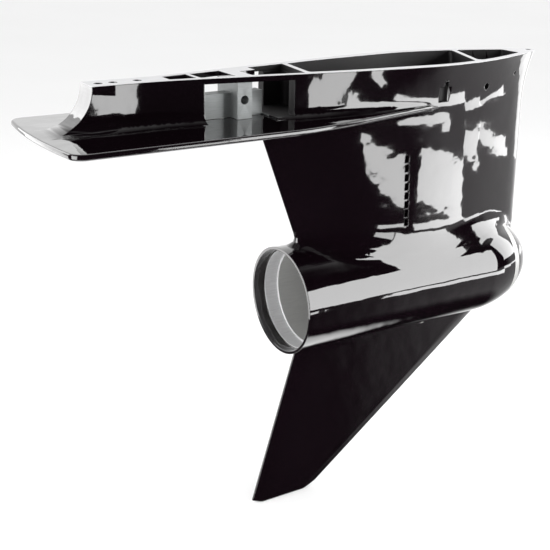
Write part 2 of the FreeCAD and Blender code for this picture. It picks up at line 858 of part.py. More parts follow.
def side_holes():
    """Scoop at the front end of the plate on both sides, vent and pitot holes to starboard, anode bolt hole."""
    cuts = []
    station = -size("scoop_station")
    radius = size("scoop_radius")
    outer = widest_half(-size("scoop_top"))
    for side in (1, -1):
        middle = side * (outer + 0.5)
        top = -size("scoop_top")
        cuts.append(drill(station, middle, top, radius, size("plate_depth") + top - 2, DOWN))
        cuts.append(drill(station, side * (outer - 2.5), top - 1, size("scoop_hole_radius"), 9, UP))
    vent = Vector(size("vent_reach"), 0, -size("vent_drop"))
    outside = front_half(vent.x, vent.z) + 2
    cuts.append(drill(vent.x, -outside, vent.z, size("vent_radius"), size("deck_wall") + 12, Vector(0, 1, 0)))
    pitot = Vector(size("pitot_reach"), 0, -size("pitot_drop"))
    outside = front_half(pitot.x, pitot.z) + 2
    cuts.append(drill(pitot.x, -outside, pitot.z, size("pitot_radius"), size("deck_wall") + 8, Vector(0, 1, 0)))
    pad = (-size("pad_rear") - size("pad_front")) / 2
    bolt_level = -size("anode_bolt_depth")
    reach = size("rib_half") + 10
    cuts.append(drill(pad, -reach, bolt_level, size("anode_bolt_radius"), 2 * reach, Vector(0, 1, 0)))
    return cuts


def intake_cuts():
    """Eight inlets down each flank, each with a short ramp ahead of it, and the gallery that joins them."""
    station = -size("intake_station")
    wide = size("intake_width") / 2
    half_gallery = size("gallery_width") / 2
    cuts = [
        box(
            station - half_gallery,
            station + half_gallery,
            -size("gallery_half"),
            size("gallery_half"),
            -size("gallery_depth"),
            -size("well_depth") + 2,
        )
    ]
    for index in range(count("intake_count")):
        top = -size("intake_top") - index * size("intake_pitch")
        low = top - size("intake_height")
        x = station + 2 + size("intake_lean") * (-top - size("intake_top"))
        skin = widest_half(low)
        for side in (1, -1):
            inner, outer = sorted((side * (size("gallery_half") - 1), side * (skin + 6)))
            cuts.append(box(x - wide, x + wide, inner, outer, low, top))
            ramp = [
                Vector(x + wide - 1, side * (skin - size("intake_ramp_depth")), 0),
                Vector(x + wide - 1, side * (skin + 4), 0),
                Vector(x + wide + size("intake_ramp"), side * (skin + 4), 0),
            ]
            groove = Part.makePolygon(ramp + ramp[:1])
            groove.translate(Vector(0, 0, low + 0.4))
            cuts.append(extruded(groove, Vector(0, 0, 2.6)))
    return cuts


def barrel_cuts():
    """Bores along the propeller shaft's axis, from the rim forward to the shift cavity in the nose."""
    rim = -size("rim_reach")
    steps = [
        (rim - 1, size("rim_bore_radius"), size("rim_bore_depth") + 1),
        (rim, size("carrier_radius"), size("carrier_land_depth")),
        (rim, size("barrel_radius"), size("barrel_depth")),
        (rim, size("chamber_radius"), size("rim_reach") + size("chamber_front")),
        (0, size("nose_cup_radius"), nose_seat()),
        (0, size("nose_cavity_radius"), size("nose_cavity_front")),
    ]
    return [drill(x, 0, AXIS_Z, radius, length, FORWARD) for x, radius, length in steps]


def nose_seat():
    """Station of the shoulder that the forward bearing's shim and cup sit against."""
    return size("chamber_front") + size("nose_cup_width") + size("shim_thickness")


def shaft_cuts():
    """Bores down the drive shaft's axis, and down the shift shaft's."""
    floor = size("well_depth")
    reach = size("shift_reach")
    bay_floor = size("front_bay_depth")
    bolt = size("pump_bolt_radius")
    cuts = [
        drill(0, 0, 1 - floor, size("carrier_bore_radius"), size("carrier_bore_depth") + 1, DOWN),
        drill(0, 0, -floor, size("ring_nut_radius"), size("cup_drop") - floor, DOWN),
        drill(0, 0, -floor, size("cup_radius"), size("cup_foot_drop") - floor, DOWN),
        drill(0, 0, -floor, size("gallery_radius"), size("shaft_drop") - floor, DOWN),
        drill(0, 0, AXIS_Z, size("needle_shell_radius"), size("shaft_drop") - size("needle_top_drop"), UP),
        drill(0, 0, AXIS_Z, size("pinion_pocket_radius"), size("shaft_drop") - size("needle_foot_drop") - 1, UP),
        drill(reach, 0, 1 - bay_floor, size("shift_bore_radius"), size("shaft_drop") - bay_floor + 1, DOWN),
        drill(reach, 0, AXIS_Z, size("shift_radius") + size("run_gap"), size("shift_foot_drop") + AXIS_Z, DOWN),
    ]
    for x, y in pump_bolt_places():
        cuts.append(drill(x, y, 1 - floor, bolt, size("pump_bolt_grip") + 1, DOWN))
    for x in (reach - size("shift_screw_reach"), reach + size("shift_screw_reach")):
        cuts.append(drill(x, 0, 1 - bay_floor, size("shift_screw_radius"), size("shift_screw_grip") + 1, DOWN))
    return cuts


def pump_bolt_places():
    front = (size("pump_front_x"), size("pump_front_y"))
    rear = (-size("pump_rear_x"), size("pump_rear_y"))
    return [front, (front[0], -front[1]), rear, (rear[0], -rear[1])]


def drain_frame():
    """Placement of the drain screw: local Z points out of the torpedo, low on the starboard side."""
    turn = math.radians(size("drain_angle"))
    outward = Vector(0, -math.sin(turn), -math.cos(turn))
    seat = size("torpedo_radius") - size("drain_head_height") - size("drain_washer_thickness")
    base = Vector(-size("drain_reach"), 0, AXIS_Z) + outward * seat
    return Placement(base, Rotation(Vector(0, 0, 1), outward))


def drain_cuts():
    sink = Part.makeCylinder(size("drain_head_radius") + 0.3, 12)
    hole = Part.makeCylinder(size("drain_thread_radius"), 22, Vector(0, 0, -16))
    cuts = [sink, hole]
    for cut in cuts:
        cut.Placement = drain_frame()
    return cuts


def gearcase():
    skin = torpedo().fuse(strut())
    skin = skin.fuse(skeg())
    skin = skin.fuse(walls())
    skin = skin.fuse(plate())
    cuts = [main_bay(), front_bay(), pump_well(), exhaust_passage(), window_cut(1), window_cut(-1)]
    cuts += anode_slots()
    cuts += deck_holes() + side_holes() + intake_cuts() + barrel_cuts() + shaft_cuts() + drain_cuts()
    return skin.cut(cuts)


# Pieces: each is one object with its own label and placement

PIECES = []
SHEET_NAMES = set(SIZES) | set(FOLLOWING)


def bound(text):
    """The same sum, with each size looked up in the sheet."""
    return re.sub(r"[a-z][a-z_]*", lambda word: "sizes." + word.group() if word.group() in SHEET_NAMES else word.group(), text)


def measure(text):
    sheet.set("D1", "=" + text)
    sheet.recompute()
    return float(sheet.get("D1"))


def put(piece, base, along=False):
    """Place a piece: three sums give its origin, and along turns its own Z axis to point forward."""
    turn = Rotation(Vector(0, 1, 0), 90) if along else Rotation()
    piece.Placement = Placement(Vector(*[measure(text) for text in base]), turn)
    for axis, text in zip("xyz", base):
        if text != "0":
            piece.setExpression("Placement.Base." + axis, bound(text))
    PIECES.append(piece)
    return piece


def turned(label, profile, base, along=False):
    """Turned piece: a closed profile of (radius, height) sums, revolved about its own Z axis."""
    body = doc.addObject("PartDesign::Body", label)
    sketch = body.newObject("Sketcher::SketchObject", label + "_profile")
    plane = [feature for feature in body.Origin.OriginFeatures if feature.Role == "XZ_Plane"][0]
    sketch.AttachmentSupport = [(plane, "")]
    sketch.MapMode = "FlatFace"
    corners = [Vector(measure(radius), measure(height), 0) for radius, height in profile]
    for index, corner in enumerate(corners):
        sketch.addGeometry(Part.LineSegment(corner, corners[(index + 1) % len(corners)]), False)
    for index in range(len(corners)):
        sketch.addConstraint(Sketcher.Constraint("Coincident", index, 2, (index + 1) % len(corners), 1))
    for index, (radius, height) in enumerate(profile):
        for kind, text, value, axis in (
            ("DistanceX", radius, corners[index].x, -2),
            ("DistanceY", height, corners[index].y, -1),
        ):
            if abs(value) < 1e-9:
                sketch.addConstraint(Sketcher.Constraint("PointOnObject", index, 1, axis))
            else:
                number = sketch.addConstraint(Sketcher.Constraint(kind, -1, 1, index, 1, value))
                sketch.setExpression(f"Constraints[{number}]", bound(text))
    spin = body.newObject("PartDesign::Revolution", label + "_spin")
    spin.Profile = sketch
    spin.ReferenceAxis = (sketch, ["V_Axis"])
    spin.Angle = 360
    sketch.Visibility = False
    return put(body, base, along)


def shaped(label, shape, base, along=False):
    piece = doc.addObject("Part::Feature", label)
    piece.Shape = shape
    return put(piece, base, along)


def ringed(shape, number, phase=0.0):
    """Copies of a solid spaced evenly about the Z axis."""
    copies = []
    for index in range(number):
        copy = shape.copy()
        copy.rotate(Vector(0, 0, 0), UP, phase + 360.0 * index / number)
        copies.append(copy)
    return copies


def ring(inner, outer, low, high):
    """Part profile of a plain ring."""
    return [(inner, low), (outer, low), (outer, high), (inner, high)]


def down(text):
    """Base of a piece that stands on the drive shaft's axis, its own zero this far below the deck."""
    return ("0", "0", "-(" + text + ")")


# Tapered bearings: in each the rollers, the cup's track and the cone's track meet in one apex on the axis

def tapered_bearing(kind, cup_radius, bore, height, names, base, along):
    """Cup, cone, cage and rollers between two heights of the piece's own Z, the small end uppermost."""
    cup_name, cone_name, cage_name, rollers_name = names
    apex = f"({kind}_apex + {height} / 2)"
    cup_track = f"tan({kind}_cup_angle)"
    cone_track = f"tan({kind}_cone_angle)"
    centre_line = f"tan({kind}_axis_angle)"

    turned(
        cup_name,
        [
            (f"{apex} * {cup_track}", "0"),
            (cup_radius, "0"),
            (cup_radius, height),
            (f"({apex} - {height}) * {cup_track}", height),
        ],
        base,
        along,
    )
    foot = "cone_ledge"
    rib = "(cone_ledge + cone_rib)"
    crown = f"({height} - cone_ledge)"
    ledge = f"({height} - cone_ledge - cone_rib)"
    turned(
        cone_name,
        [
            (bore, foot),
            (f"({apex} - {rib}) * {cone_track} + cone_rib_rise", foot),
            (f"({apex} - {rib}) * {cone_track} + cone_rib_rise", rib),
            (f"({apex} - {rib}) * {cone_track}", rib),
            (f"({apex} - {ledge}) * {cone_track}", ledge),
            (f"({apex} - {ledge}) * {cone_track} + cone_lip", ledge),
            (f"({apex} - {ledge}) * {cone_track} + cone_lip", crown),
            (bore, crown),
        ],
        base,
        along,
    )

    lean = math.radians(size(f"{kind}_axis_angle"))
    half_cone = math.radians(size(f"{kind}_cup_angle") - size(f"{kind}_axis_angle"))
    middle = size(f"{kind}_mean_radius") / math.sin(lean)
    length = size(f"{kind}_roller_length")
    far, near = middle + length / 2, middle - length / 2
    top = measure(apex)

    def roller(swell, extra):
        big = far * math.tan(half_cone) + swell
        small = near * math.tan(half_cone) + swell
        solid = Part.makeCone(big, small, length + 2 * extra, Vector(0, 0, -far - extra))
        solid.rotate(Vector(0, 0, 0), Vector(0, 1, 0), -math.degrees(lean))
        solid.translate(Vector(0, 0, top))
        return solid

    number = count(f"{kind}_roller_count")
    shaped(rollers_name, Part.makeCompound(ringed(roller(-size("run_gap"), 0), number)), base, along)

    low = rib_top = size("cone_ledge") + size("cone_rib") + size("cage_gap")
    high = measure(crown) - size("cone_rib") / 2
    wall = size("cage_wall") / 2
    rims = [(rib_top, wall), (high, wall), (high, -wall), (low, -wall)]
    profile = [Vector((top - z) * math.tan(lean) + side, 0, z) for z, side in rims]
    shell = Part.Face(Part.makePolygon(profile + profile[:1])).revolve(Vector(0, 0, 0), UP, 360)
    gap = size("cage_gap")
    reach = size("cage_wall") * 3
    wide = far * math.tan(half_cone) + gap
    narrow = near * math.tan(half_cone) + gap
    slot = [
        Vector(-reach, wide, -far - gap),
        Vector(-reach, narrow, gap - near),
        Vector(-reach, -narrow, gap - near),
        Vector(-reach, -wide, -far - gap),
    ]
    window = extruded(Part.makePolygon(slot + slot[:1]), Vector(2 * reach, 0, 0))
    window.rotate(Vector(0, 0, 0), Vector(0, 1, 0), -math.degrees(lean))
    window.translate(Vector(0, 0, top))
    shaped(cage_name, shell.cut(ringed(window, number)), base, along)


def bearing_stack():
    """Drive shaft's tapered bearing under its ring nut, and the forward gear's behind its shim."""
    tapered_bearing(
        "top",
        "cup_radius",
        "journal_radius",
        "cup_height",
        ("upper_bearing_cup", "upper_bearing_cone", "upper_bearing_cage", "upper_bearing_rollers"),
        down("cup_foot_drop"),
        False,
    )
    nose = ("chamber_front", "0", "-shaft_drop")
    tapered_bearing(
        "nose",
        "nose_cup_radius",
        "gear_neck_radius",
        "nose_cup_width",
        ("forward_bearing_cup", "forward_bearing_cone", "forward_bearing_cage", "forward_bearing_rollers"),
        nose,
        True,
    )
    turned(
        "forward_bearing_shim",
        ring("shim_hole_radius", "nose_cup_radius", "0", "shim_thickness"),
        ("chamber_front + nose_cup_width", "0", "-shaft_drop"),
        True,
    )
    slot = size("ring_nut_slot")
    outer = size("ring_nut_radius")
    height = size("ring_nut_height")
    nut = Part.makeCylinder(outer, height).cut(Part.makeCylinder(size("ring_nut_hole_radius"), height))
    notch = box(size("ring_nut_hole_radius") - 1, outer - 3, -slot / 2, slot / 2, height - 3, height + 1)
    shaped("bearing_retainer_nut", nut.cut(ringed(notch, 4, 45)), down("cup_drop"))


def needle_bearing():
    base = down("needle_foot_drop")
    top = "needle_shell_height"
    turned(
        "pinion_bearing_shell",
        [
            ("needle_lip_radius", "0"),
            ("needle_shell_radius", "0"),
            ("needle_shell_radius", top),
            ("needle_lip_radius", top),
            ("needle_lip_radius", top + " - needle_lip"),
            ("needle_track_radius", top + " - needle_lip"),
            ("needle_track_radius", "needle_lip"),
            ("needle_lip_radius", "needle_lip"),
        ],
        base,
    )
    radius = size("needle_radius")
    length = size("needle_length")
    ring_radius = size("needle_ring_radius")
    start = (size("needle_shell_height") - length) / 2
    number = count("needle_count")
    needle = Part.makeCylinder(radius, length, Vector(ring_radius, 0, start))
    shaped("pinion_bearing_rollers", Part.makeCompound(ringed(needle, number)), base)
    wall = size("needle_cage_wall") / 2
    low = size("needle_lip") + size("cage_gap")
    tall = size("needle_shell_height") - 2 * low
    shell = Part.makeCylinder(ring_radius + wall, tall, Vector(0, 0, low))
    shell = shell.cut(Part.makeCylinder(ring_radius - wall, tall, Vector(0, 0, low)))
    gap = size("cage_gap")
    half = radius + gap
    window = box(ring_radius - 3, ring_radius + 3, -half, half, start - gap, start + length + gap)
    shaped("pinion_bearing_cage", shell.cut(ringed(window, number)), base)


# Bevel gears: straight teeth drawn on the back cone and tapered to the point where both axes meet

def pitch_distance():
    return size("gear_module") / 2 * math.hypot(size("pinion_teeth"), size("gear_teeth"))


def pitch_angle(teeth, mate):
    return math.atan2(size(teeth), size(mate))


def involute(angle):
    return math.tan(angle) - angle


def bevel_tooth(teeth, mate, addendum, dedendum):
    """One tooth, its root sunk a little into the blank, with the gears' common apex at the origin."""
    tilt = pitch_angle(teeth, mate)
    reach = pitch_distance()
    pressure = math.radians(size("pressure_angle"))
    pitch = reach * math.tan(tilt)
    base = pitch * math.cos(pressure)
    thick = math.pi * size("gear_module") / 2 - size("tooth_backlash") / 2
    root = pitch - dedendum
    tip = pitch + addendum
    flank = []
    for share in (0.0, 0.35, 0.7, 1.0):
        radius = root + (tip - root) * share
        at = math.acos(min(1.0, base / radius))
        half = thick / (2 * pitch) + involute(pressure) - involute(at)
        flank.append((radius, half))
    sunk = (root - 0.4, flank[0][1])

    def spot(radius, turn, scale):
        out = radius * math.cos(turn) - pitch
        across = radius * math.sin(turn)
        x = reach * math.sin(tilt) + out * math.cos(tilt)
        z = reach * math.cos(tilt) - out * math.sin(tilt)
        return Vector(x * scale, across * scale, z * scale)

    def section(scale):
        port = [spot(radius, half, scale) for radius, half in [sunk] + flank]
        starboard = [spot(radius, -half, scale) for radius, half in reversed([sunk] + flank)]
        return Part.makePolygon(port + starboard + port[:1])

    shrink = 1 - size("face_width") / reach
    return lofted([section(1.0), section(shrink)], True)


def root_spot(teeth, mate, dedendum, scale):
    """Radius and height of the root line of a bevel gear, at a share of its cone distance."""
    tilt = pitch_angle(teeth, mate)
    reach = pitch_distance()
    radius = reach * math.sin(tilt) - dedendum * math.cos(tilt)
    height = reach * math.cos(tilt) + dedendum * math.sin(tilt)
    return radius * scale, height * scale


def revolved(points):
    corners = [Vector(radius, 0, height) for radius, height in points]
    return Part.Face(Part.makePolygon(corners + corners[:1])).revolve(Vector(0, 0, 0), UP, 360)


def pinion():
    dedendum = size("gear_addendum") + size("tooth_clearance")
    shrink = 1 - size("face_width") / pitch_distance()
    outer = root_spot("pinion_teeth", "gear_teeth", dedendum, 1.0)
    inner = root_spot("pinion_teeth", "gear_teeth", dedendum, shrink)
    bore = size("seat_radius")
    face = size("pinion_face")
    back = size("pinion_back")
    hub = size("pinion_hub_radius")
    blank = revolved(
        [(bore, face), (inner[0] - 2, face), inner, outer, (hub + 1, outer[1] + 3), (hub, back), (bore, back)]
    )
    tooth = bevel_tooth("pinion_teeth", "gear_teeth", size("pinion_addendum"), dedendum)
    return blank.fuse(ringed(tooth, count("pinion_teeth")))


def forward_gear():
    """Gear with the bearing's neck behind it and clutch dogs on its face; a tooth gap meets the pinion."""
    dedendum = size("pinion_addendum") + size("tooth_clearance")
    shrink = 1 - size("face_width") / pitch_distance()
    outer = root_spot("gear_teeth", "pinion_teeth", dedendum, 1.0)
    inner = root_spot("gear_teeth", "pinion_teeth", dedendum, shrink)
    bore = size("gear_bore_radius")
    face = size("gear_face")
    shoulder = size("gear_shoulder_radius")
    stop = size("gear_shoulder")
    neck = size("gear_neck_radius")
    blank = revolved(
        [
            (bore, face),
            (inner[0] - 7, face),
            inner,
            outer,
            (outer[0] - 2, size("gear_rim_back")),
            (shoulder + 3, size("gear_rim_back") + 5),
            (shoulder, size("gear_rim_back") + 8),
            (shoulder, stop),
            (neck, stop),
            (neck, size("gear_neck_end")),
            (bore, size("gear_neck_end")),
        ]
    )
    number = count("gear_teeth")
    tooth = bevel_tooth("gear_teeth", "pinion_teeth", size("gear_addendum"), dedendum)
    solid = blank.fuse(ringed(tooth, number, 180.0 / number))
    tall = size("gear_dog_height")
    low = Vector(0, 0, face - tall)
    collar = Part.makeCylinder(size("gear_dog_radius"), tall, low).cut(Part.makeCylinder(bore, tall, low))
    width = size("gear_dog_radius") * math.pi / size("gear_dogs")
    gap = box(bore - 3, size("gear_dog_radius") + 2, -width / 2, width / 2, low.z - 1, face)
    return solid.fuse(collar.cut(ringed(gap, count("gear_dogs"))))


def hexagon(half, height, base):
    corners = [Vector(half / math.cos(math.pi / 6), 0, 0)]
    wire = [Vector(corners[0]) for _ in range(6)]
    for index, corner in enumerate(wire):
        turn = math.radians(60 * index)
        wire[index] = Vector(corner.x * math.cos(turn), corner.x * math.sin(turn), 0) + base
    return extruded(Part.makePolygon(wire + wire[:1]), Vector(0, 0, height))


def gear_train():
    apex = ("0", "0", "-shaft_drop")
    shaped("pinion_gear", pinion(), apex)
    shaped("forward_gear", forward_gear(), apex, True)
    turned(
        "forward_gear_bush",
        ring("gear_bore_radius - bush_wall", "gear_bore_radius", "gear_face", "gear_neck_end"),
        apex,
        True,
    )
    nut_height = size("pinion_nut_height")
    nut = hexagon(size("pinion_nut_half"), nut_height, Vector(0, 0, 0))
    nut = nut.cut(Part.makeCylinder(size("thread_radius"), nut_height))
    shaped("pinion_nut", nut, down("pinion_face_drop + pinion_nut_height"))


def drive_shaft():
    """Shaft from its splined top down to the pinion nut's thread, standing on its lower tip."""
    foot = size("pinion_face_drop") + size("pinion_nut_height") + 2

    def level(drop):
        return foot - drop

    cone_foot = level(size("cup_foot_drop") - size("cone_ledge"))
    cone_top = level(size("cup_drop") + size("cone_ledge"))
    seal_top = level(size("well_depth"))
    race = size("needle_race_radius")
    core = revolved(
        [
            (0, 0),
            (size("shaft_tip_radius"), 0),
            (size("thread_radius"), 1.5),
            (size("thread_radius"), level(size("pinion_face_drop"))),
            (size("seat_radius"), level(size("pinion_face_drop"))),
            (size("seat_radius"), level(size("pinion_back_drop"))),
            (race, level(size("pinion_back_drop"))),
            (race, level(size("needle_top_drop"))),
            (size("waist_radius"), level(size("needle_top_drop")) + 4),
            (size("waist_radius"), cone_foot - 6),
            (size("gallery_radius") - 1, cone_foot - 5),
            (size("gallery_radius") - 1, cone_foot),
            (size("journal_radius"), cone_foot),
            (size("journal_radius"), cone_top),
            (size("journal_radius"), seal_top),
            (size("shaft_radius"), seal_top + 1),
            (size("shaft_radius"), level(size("shaft_top_drop") + size("spline_length"))),
            (size("spline_root_radius"), level(size("shaft_top_drop") + size("spline_length")) + 2),
            (size("spline_root_radius"), level(size("shaft_top_drop"))),
            (0, level(size("shaft_top_drop"))),
        ]
    )
    start = level(size("shaft_top_drop") + size("spline_length"))
    tooth_half = size("spline_root_radius") * math.pi / size("spline_teeth") / 2
    ridge = box(
        size("spline_root_radius") - 1, size("spline_radius"), -tooth_half, tooth_half, start, start + size("spline_length") - 1
    )
    shaft = core.fuse(ringed(ridge, count("spline_teeth")))
    slot_low = level(size("liner_drop")) + 3
    half = size("key_width") / 2
    depth = size("shaft_radius") - size("key_depth")
    slot = box(depth, size("shaft_radius") + 1, -half, half, slot_low, slot_low + size("key_height"))
    return shaft.cut(slot), foot


def shaft_line():
    shaft, foot = drive_shaft()
    shaped("drive_shaft", shaft, down("pinion_face_drop + pinion_nut_height + 2"))
    half = size("key_width") / 2
    depth = size("shaft_radius") - size("key_depth")
    key = box(depth, size("shaft_radius") + size("key_depth"), -half, half, 0, size("key_height"))
    shaped("impeller_key", key, down("liner_drop - 3"))


def seal_stack():
    """Carrier in its bore over the ring nut, with two lip seals and an O-ring."""
    base = down("nut_drop")
    groove_low = "carrier_bore_depth / 2 - ring_section"
    groove_high = "carrier_bore_depth / 2 + ring_section"
    outer = "carrier_bore_radius - fit_gap"
    inner = "carrier_bore_radius - 2 * ring_section"
    turned(
        "seal_carrier",
        [
            ("carrier_lip_radius", "0"),
            (outer, "0"),
            (outer, groove_low),
            (inner, groove_low),
            (inner, groove_high),
            (outer, groove_high),
            (outer, "carrier_bore_depth"),
            ("seal_radius", "carrier_bore_depth"),
            ("seal_radius", "carrier_lip"),
            ("carrier_lip_radius", "carrier_lip"),
        ],
        base,
    )
    torus = doc.addObject("Part::Torus", "seal_carrier_ring")
    torus.setExpression("Radius1", bound("carrier_bore_radius - ring_section"))
    torus.setExpression("Radius2", bound("ring_section"))
    put(torus, down("nut_drop - carrier_bore_depth / 2"))
    for label, drop in (("lower_shaft_seal", "nut_drop - carrier_lip"), ("upper_shaft_seal", "nut_drop - carrier_lip - seal_height")):
        turned(
            label,
            [
                ("journal_radius + seal_skin + 1.3", "0"),
                ("seal_radius", "0"),
                ("seal_radius", "seal_height"),
                ("seal_radius - seal_skin", "seal_height"),
                ("seal_radius - seal_skin", "seal_skin"),
                ("journal_radius + seal_skin + 1.3", "seal_skin"),
                ("journal_radius + seal_skin + 0.6", "seal_height - 0.8"),
                ("journal_radius + run_gap", "seal_height - 1.4"),
                ("journal_radius + run_gap", "seal_height - 1.8"),
            ],
            down(drop),
        )


# Water pump

def pump_plan(thickness):
    """Plate outline under the pump: its round body joined to the four bolt ears."""
    ear = size("pump_ear_radius")
    places = pump_bolt_places()
    solid = Part.makeCylinder(size("housing_radius"), thickness, Vector(size("pump_offset"), 0, 0))
    solid = solid.fuse([Part.makeCylinder(ear, thickness, Vector(x, y, 0)) for x, y in places])
    web = box(-size("pump_rear_x") - ear, size("pump_front_x"), -size("pump_rear_y"), size("pump_rear_y"), 0, thickness)
    return solid.fuse(web).removeSplitter()


def bolt_holes(height):
    radius = size("pump_bolt_radius") + size("pump_bolt_hole_gap")
    return [Part.makeCylinder(radius, height, Vector(x, y, 0)) for x, y in pump_bolt_places()]


def pump_plate(thickness, hole):
    inlet_rear = -size("shaft_radius") - 6
    half = size("inlet_length") / 2
    inlet = box(inlet_rear - size("inlet_width"), inlet_rear, -half, half, 0, thickness)
    cuts = bolt_holes(thickness) + [Part.makeCylinder(hole, thickness), inlet]
    return pump_plan(thickness).cut(cuts)


def vane():
    """Bent vane of the impeller: it trails the way it turns."""
    hub = size("impeller_hub_radius")
    tip = size("impeller_tip_radius")
    half = size("vane_thickness") / 2
    tall = size("liner_height") - 2 * size("impeller_end_gap")
    sweep = 4.5
    reach = math.sqrt(tip * tip - (sweep + half) ** 2) - 0.2
    corners = [(hub - 2, half), (reach * 0.86, half + sweep * 0.55), (reach, sweep + half)]
    corners += [(reach, sweep - half), (reach * 0.9, sweep * 0.45 - half), (hub - 2, -half)]
    return prism(corners, 0, tall)


def water_pump():
    gasket = size("pump_gasket_thickness")
    hole = size("journal_radius") + size("shaft_pass_gap")
    shaped("pump_base_gasket", pump_plate(gasket, hole + 4), down("well_depth"))
    shaped("pump_base", pump_plate(size("pump_base_thickness"), hole), down("pump_base_drop"))
    shaped("pump_wear_plate", pump_plate(size("wear_plate_thickness"), hole), down("wear_plate_drop"))

    inner = size("liner_radius")
    wall = size("liner_wall")
    tall = size("liner_height")
    pass_hole = size("shaft_radius") + size("shaft_pass_gap")
    centre = Vector(size("pump_offset"), 0, 0)
    outlet = Vector(-size("outlet_x"), size("outlet_y"), 0)
    liner = Part.makeCylinder(inner + wall, tall + wall, centre).cut(Part.makeCylinder(inner, tall, centre))
    liner = liner.cut(Part.makeCylinder(pass_hole, tall + wall + 1))
    liner = liner.cut(Part.makeCylinder(size("grommet_hole_radius"), tall + wall + 1, outlet))
    shaped("pump_liner", liner, down("liner_drop"))

    height = size("housing_height")
    housing = Part.makeCylinder(size("housing_radius"), height, centre)
    columns = [Part.makeCylinder(size("pump_ear_radius"), height, Vector(x, y, 0)) for x, y in pump_bolt_places()]
    boss = Part.makeCylinder(size("outlet_radius"), height + size("outlet_height"), outlet)
    collar = Part.makeCylinder(pass_hole + 3, height + 3)
    foot = pump_plan(size("housing_wall"))
    housing = housing.fuse(columns + [boss, collar, foot])
    cuts = [Part.makeCylinder(inner + wall, tall + wall, centre), Part.makeCylinder(pass_hole, height + 4)]
    cuts += bolt_holes(height)
    grommet_low = height
    cuts.append(Part.makeCylinder(size("grommet_hole_radius"), height + size("outlet_height"), outlet))
    seat = Vector(outlet.x, outlet.y, grommet_low)
    cuts.append(Part.makeCylinder(size("grommet_radius"), size("outlet_height"), seat))
    shaped("pump_housing", housing.cut(cuts), down("liner_drop"))
    turned(
        "water_tube_grommet",
        ring("grommet_hole_radius", "grommet_radius", "0", "outlet_height"),
        ("-outlet_x", "outlet_y", "-(liner_drop - housing_height)"),
    )

    hub = Part.makeCylinder(size("impeller_hub_radius"), tall - 2 * size("impeller_end_gap"))
    impeller = hub.fuse(ringed(vane(), count("impeller_vanes")))
    impeller = impeller.cut(Part.makeCylinder(size("shaft_radius"), tall))
    half = size("key_width") / 2
    keyway = box(0, size("shaft_radius") + size("key_depth"), -half, half, 0, tall)
    shaped("impeller", impeller.cut(keyway), down("liner_drop - impeller_end_gap"))

    bolts = []
    shank = size("liner_height") + size("liner_wall") + size("housing_wall") + gasket
    shank += size("pump_base_thickness") + size("wear_plate_thickness") + size("pump_bolt_grip") - 1
    for x, y in pump_bolt_places():
        bolt = Part.makeCylinder(size("pump_bolt_radius"), shank, Vector(x, y, -shank))
        head = hexagon(size("pump_bolt_head_half"), size("pump_bolt_head_height"), Vector(x, y, 0))
        bolts.append(head.fuse(bolt))
    shaped("pump_bolts", Part.makeCompound(bolts), down("liner_drop - housing_height"))


# Shift linkage in the nose

def shift_linkage():
    foot = "(shift_foot_drop - shift_foot_clear)"
    base = ("shift_reach", "0", "-" + foot)
    turned(
        "shift_shaft",
        [
            ("0", "0"),
            ("shift_radius", "0"),
            ("shift_radius", foot + " - shift_top_drop - shift_spline_length"),
            ("shift_spline_radius", foot + " - shift_top_drop - shift_spline_length"),
            ("shift_spline_radius", foot + " - shift_top_drop"),
            ("0", foot + " - shift_top_drop"),
        ],
        base,
    )
    radius = size("cam_radius")
    tall = size("cam_height")
    reach = size("cam_finger_reach")
    half = size("cam_finger_width") / 2
    cam = Part.makeCylinder(radius, tall)
    finger = box(-reach, 0, -half, half, tall / 2 - 4, tall / 2 + 4)
    cam = cam.fuse(finger).cut(Part.makeCylinder(size("shift_radius"), tall))
    shaped("shift_cam", cam, ("shift_reach", "0", "-cam_drop"))
    floor = "-front_bay_depth"
    sleeve = ("shift_reach", "0", "-(front_bay_depth + shift_sleeve_depth)")
    top = "(shift_sleeve_depth + shift_flange_height)"
    bushing = revolved(
        [
            (size("shift_radius") + size("run_gap"), 0),
            (size("shift_bore_radius"), 0),
            (size("shift_bore_radius"), size("shift_sleeve_depth")),
            (size("shift_flange_radius"), size("shift_sleeve_depth")),
            (size("shift_flange_radius"), measure(top)),
            (size("shift_seal_radius"), measure(top)),
            (size("shift_seal_radius"), measure(top) - size("shift_seal_height")),
            (size("shift_radius") + size("run_gap"), measure(top) - size("shift_seal_height")),
        ]
    )
    hole = size("shift_screw_radius") + size("fit_gap") * 3
    holes = [
        Part.makeCylinder(hole, measure(top), Vector(x, 0, 0))
        for x in (size("shift_screw_reach"), -size("shift_screw_reach"))
    ]
    shaped("shift_shaft_bushing", bushing.cut(holes), sleeve)
    turned(
        "shift_shaft_seal",
        ring("shift_radius + run_gap", "shift_seal_radius", "0", "shift_seal_height"),
        ("shift_reach", "0", floor + " + shift_flange_height - shift_seal_height"),
    )
    screws = []
    grip = size("shift_flange_height") + size("shift_screw_grip") - 1
    for x in (size("shift_screw_reach"), -size("shift_screw_reach")):
        shank = Part.makeCylinder(size("shift_screw_radius"), grip, Vector(x, 0, -grip))
        head = Part.makeCylinder(size("shift_screw_head_radius"), size("shift_screw_head_height"), Vector(x, 0, 0))
        screws.append(shank.fuse(head))
    shaped("shift_bushing_screws", Part.makeCompound(screws), ("shift_reach", "0", floor + " + shift_flange_height"))


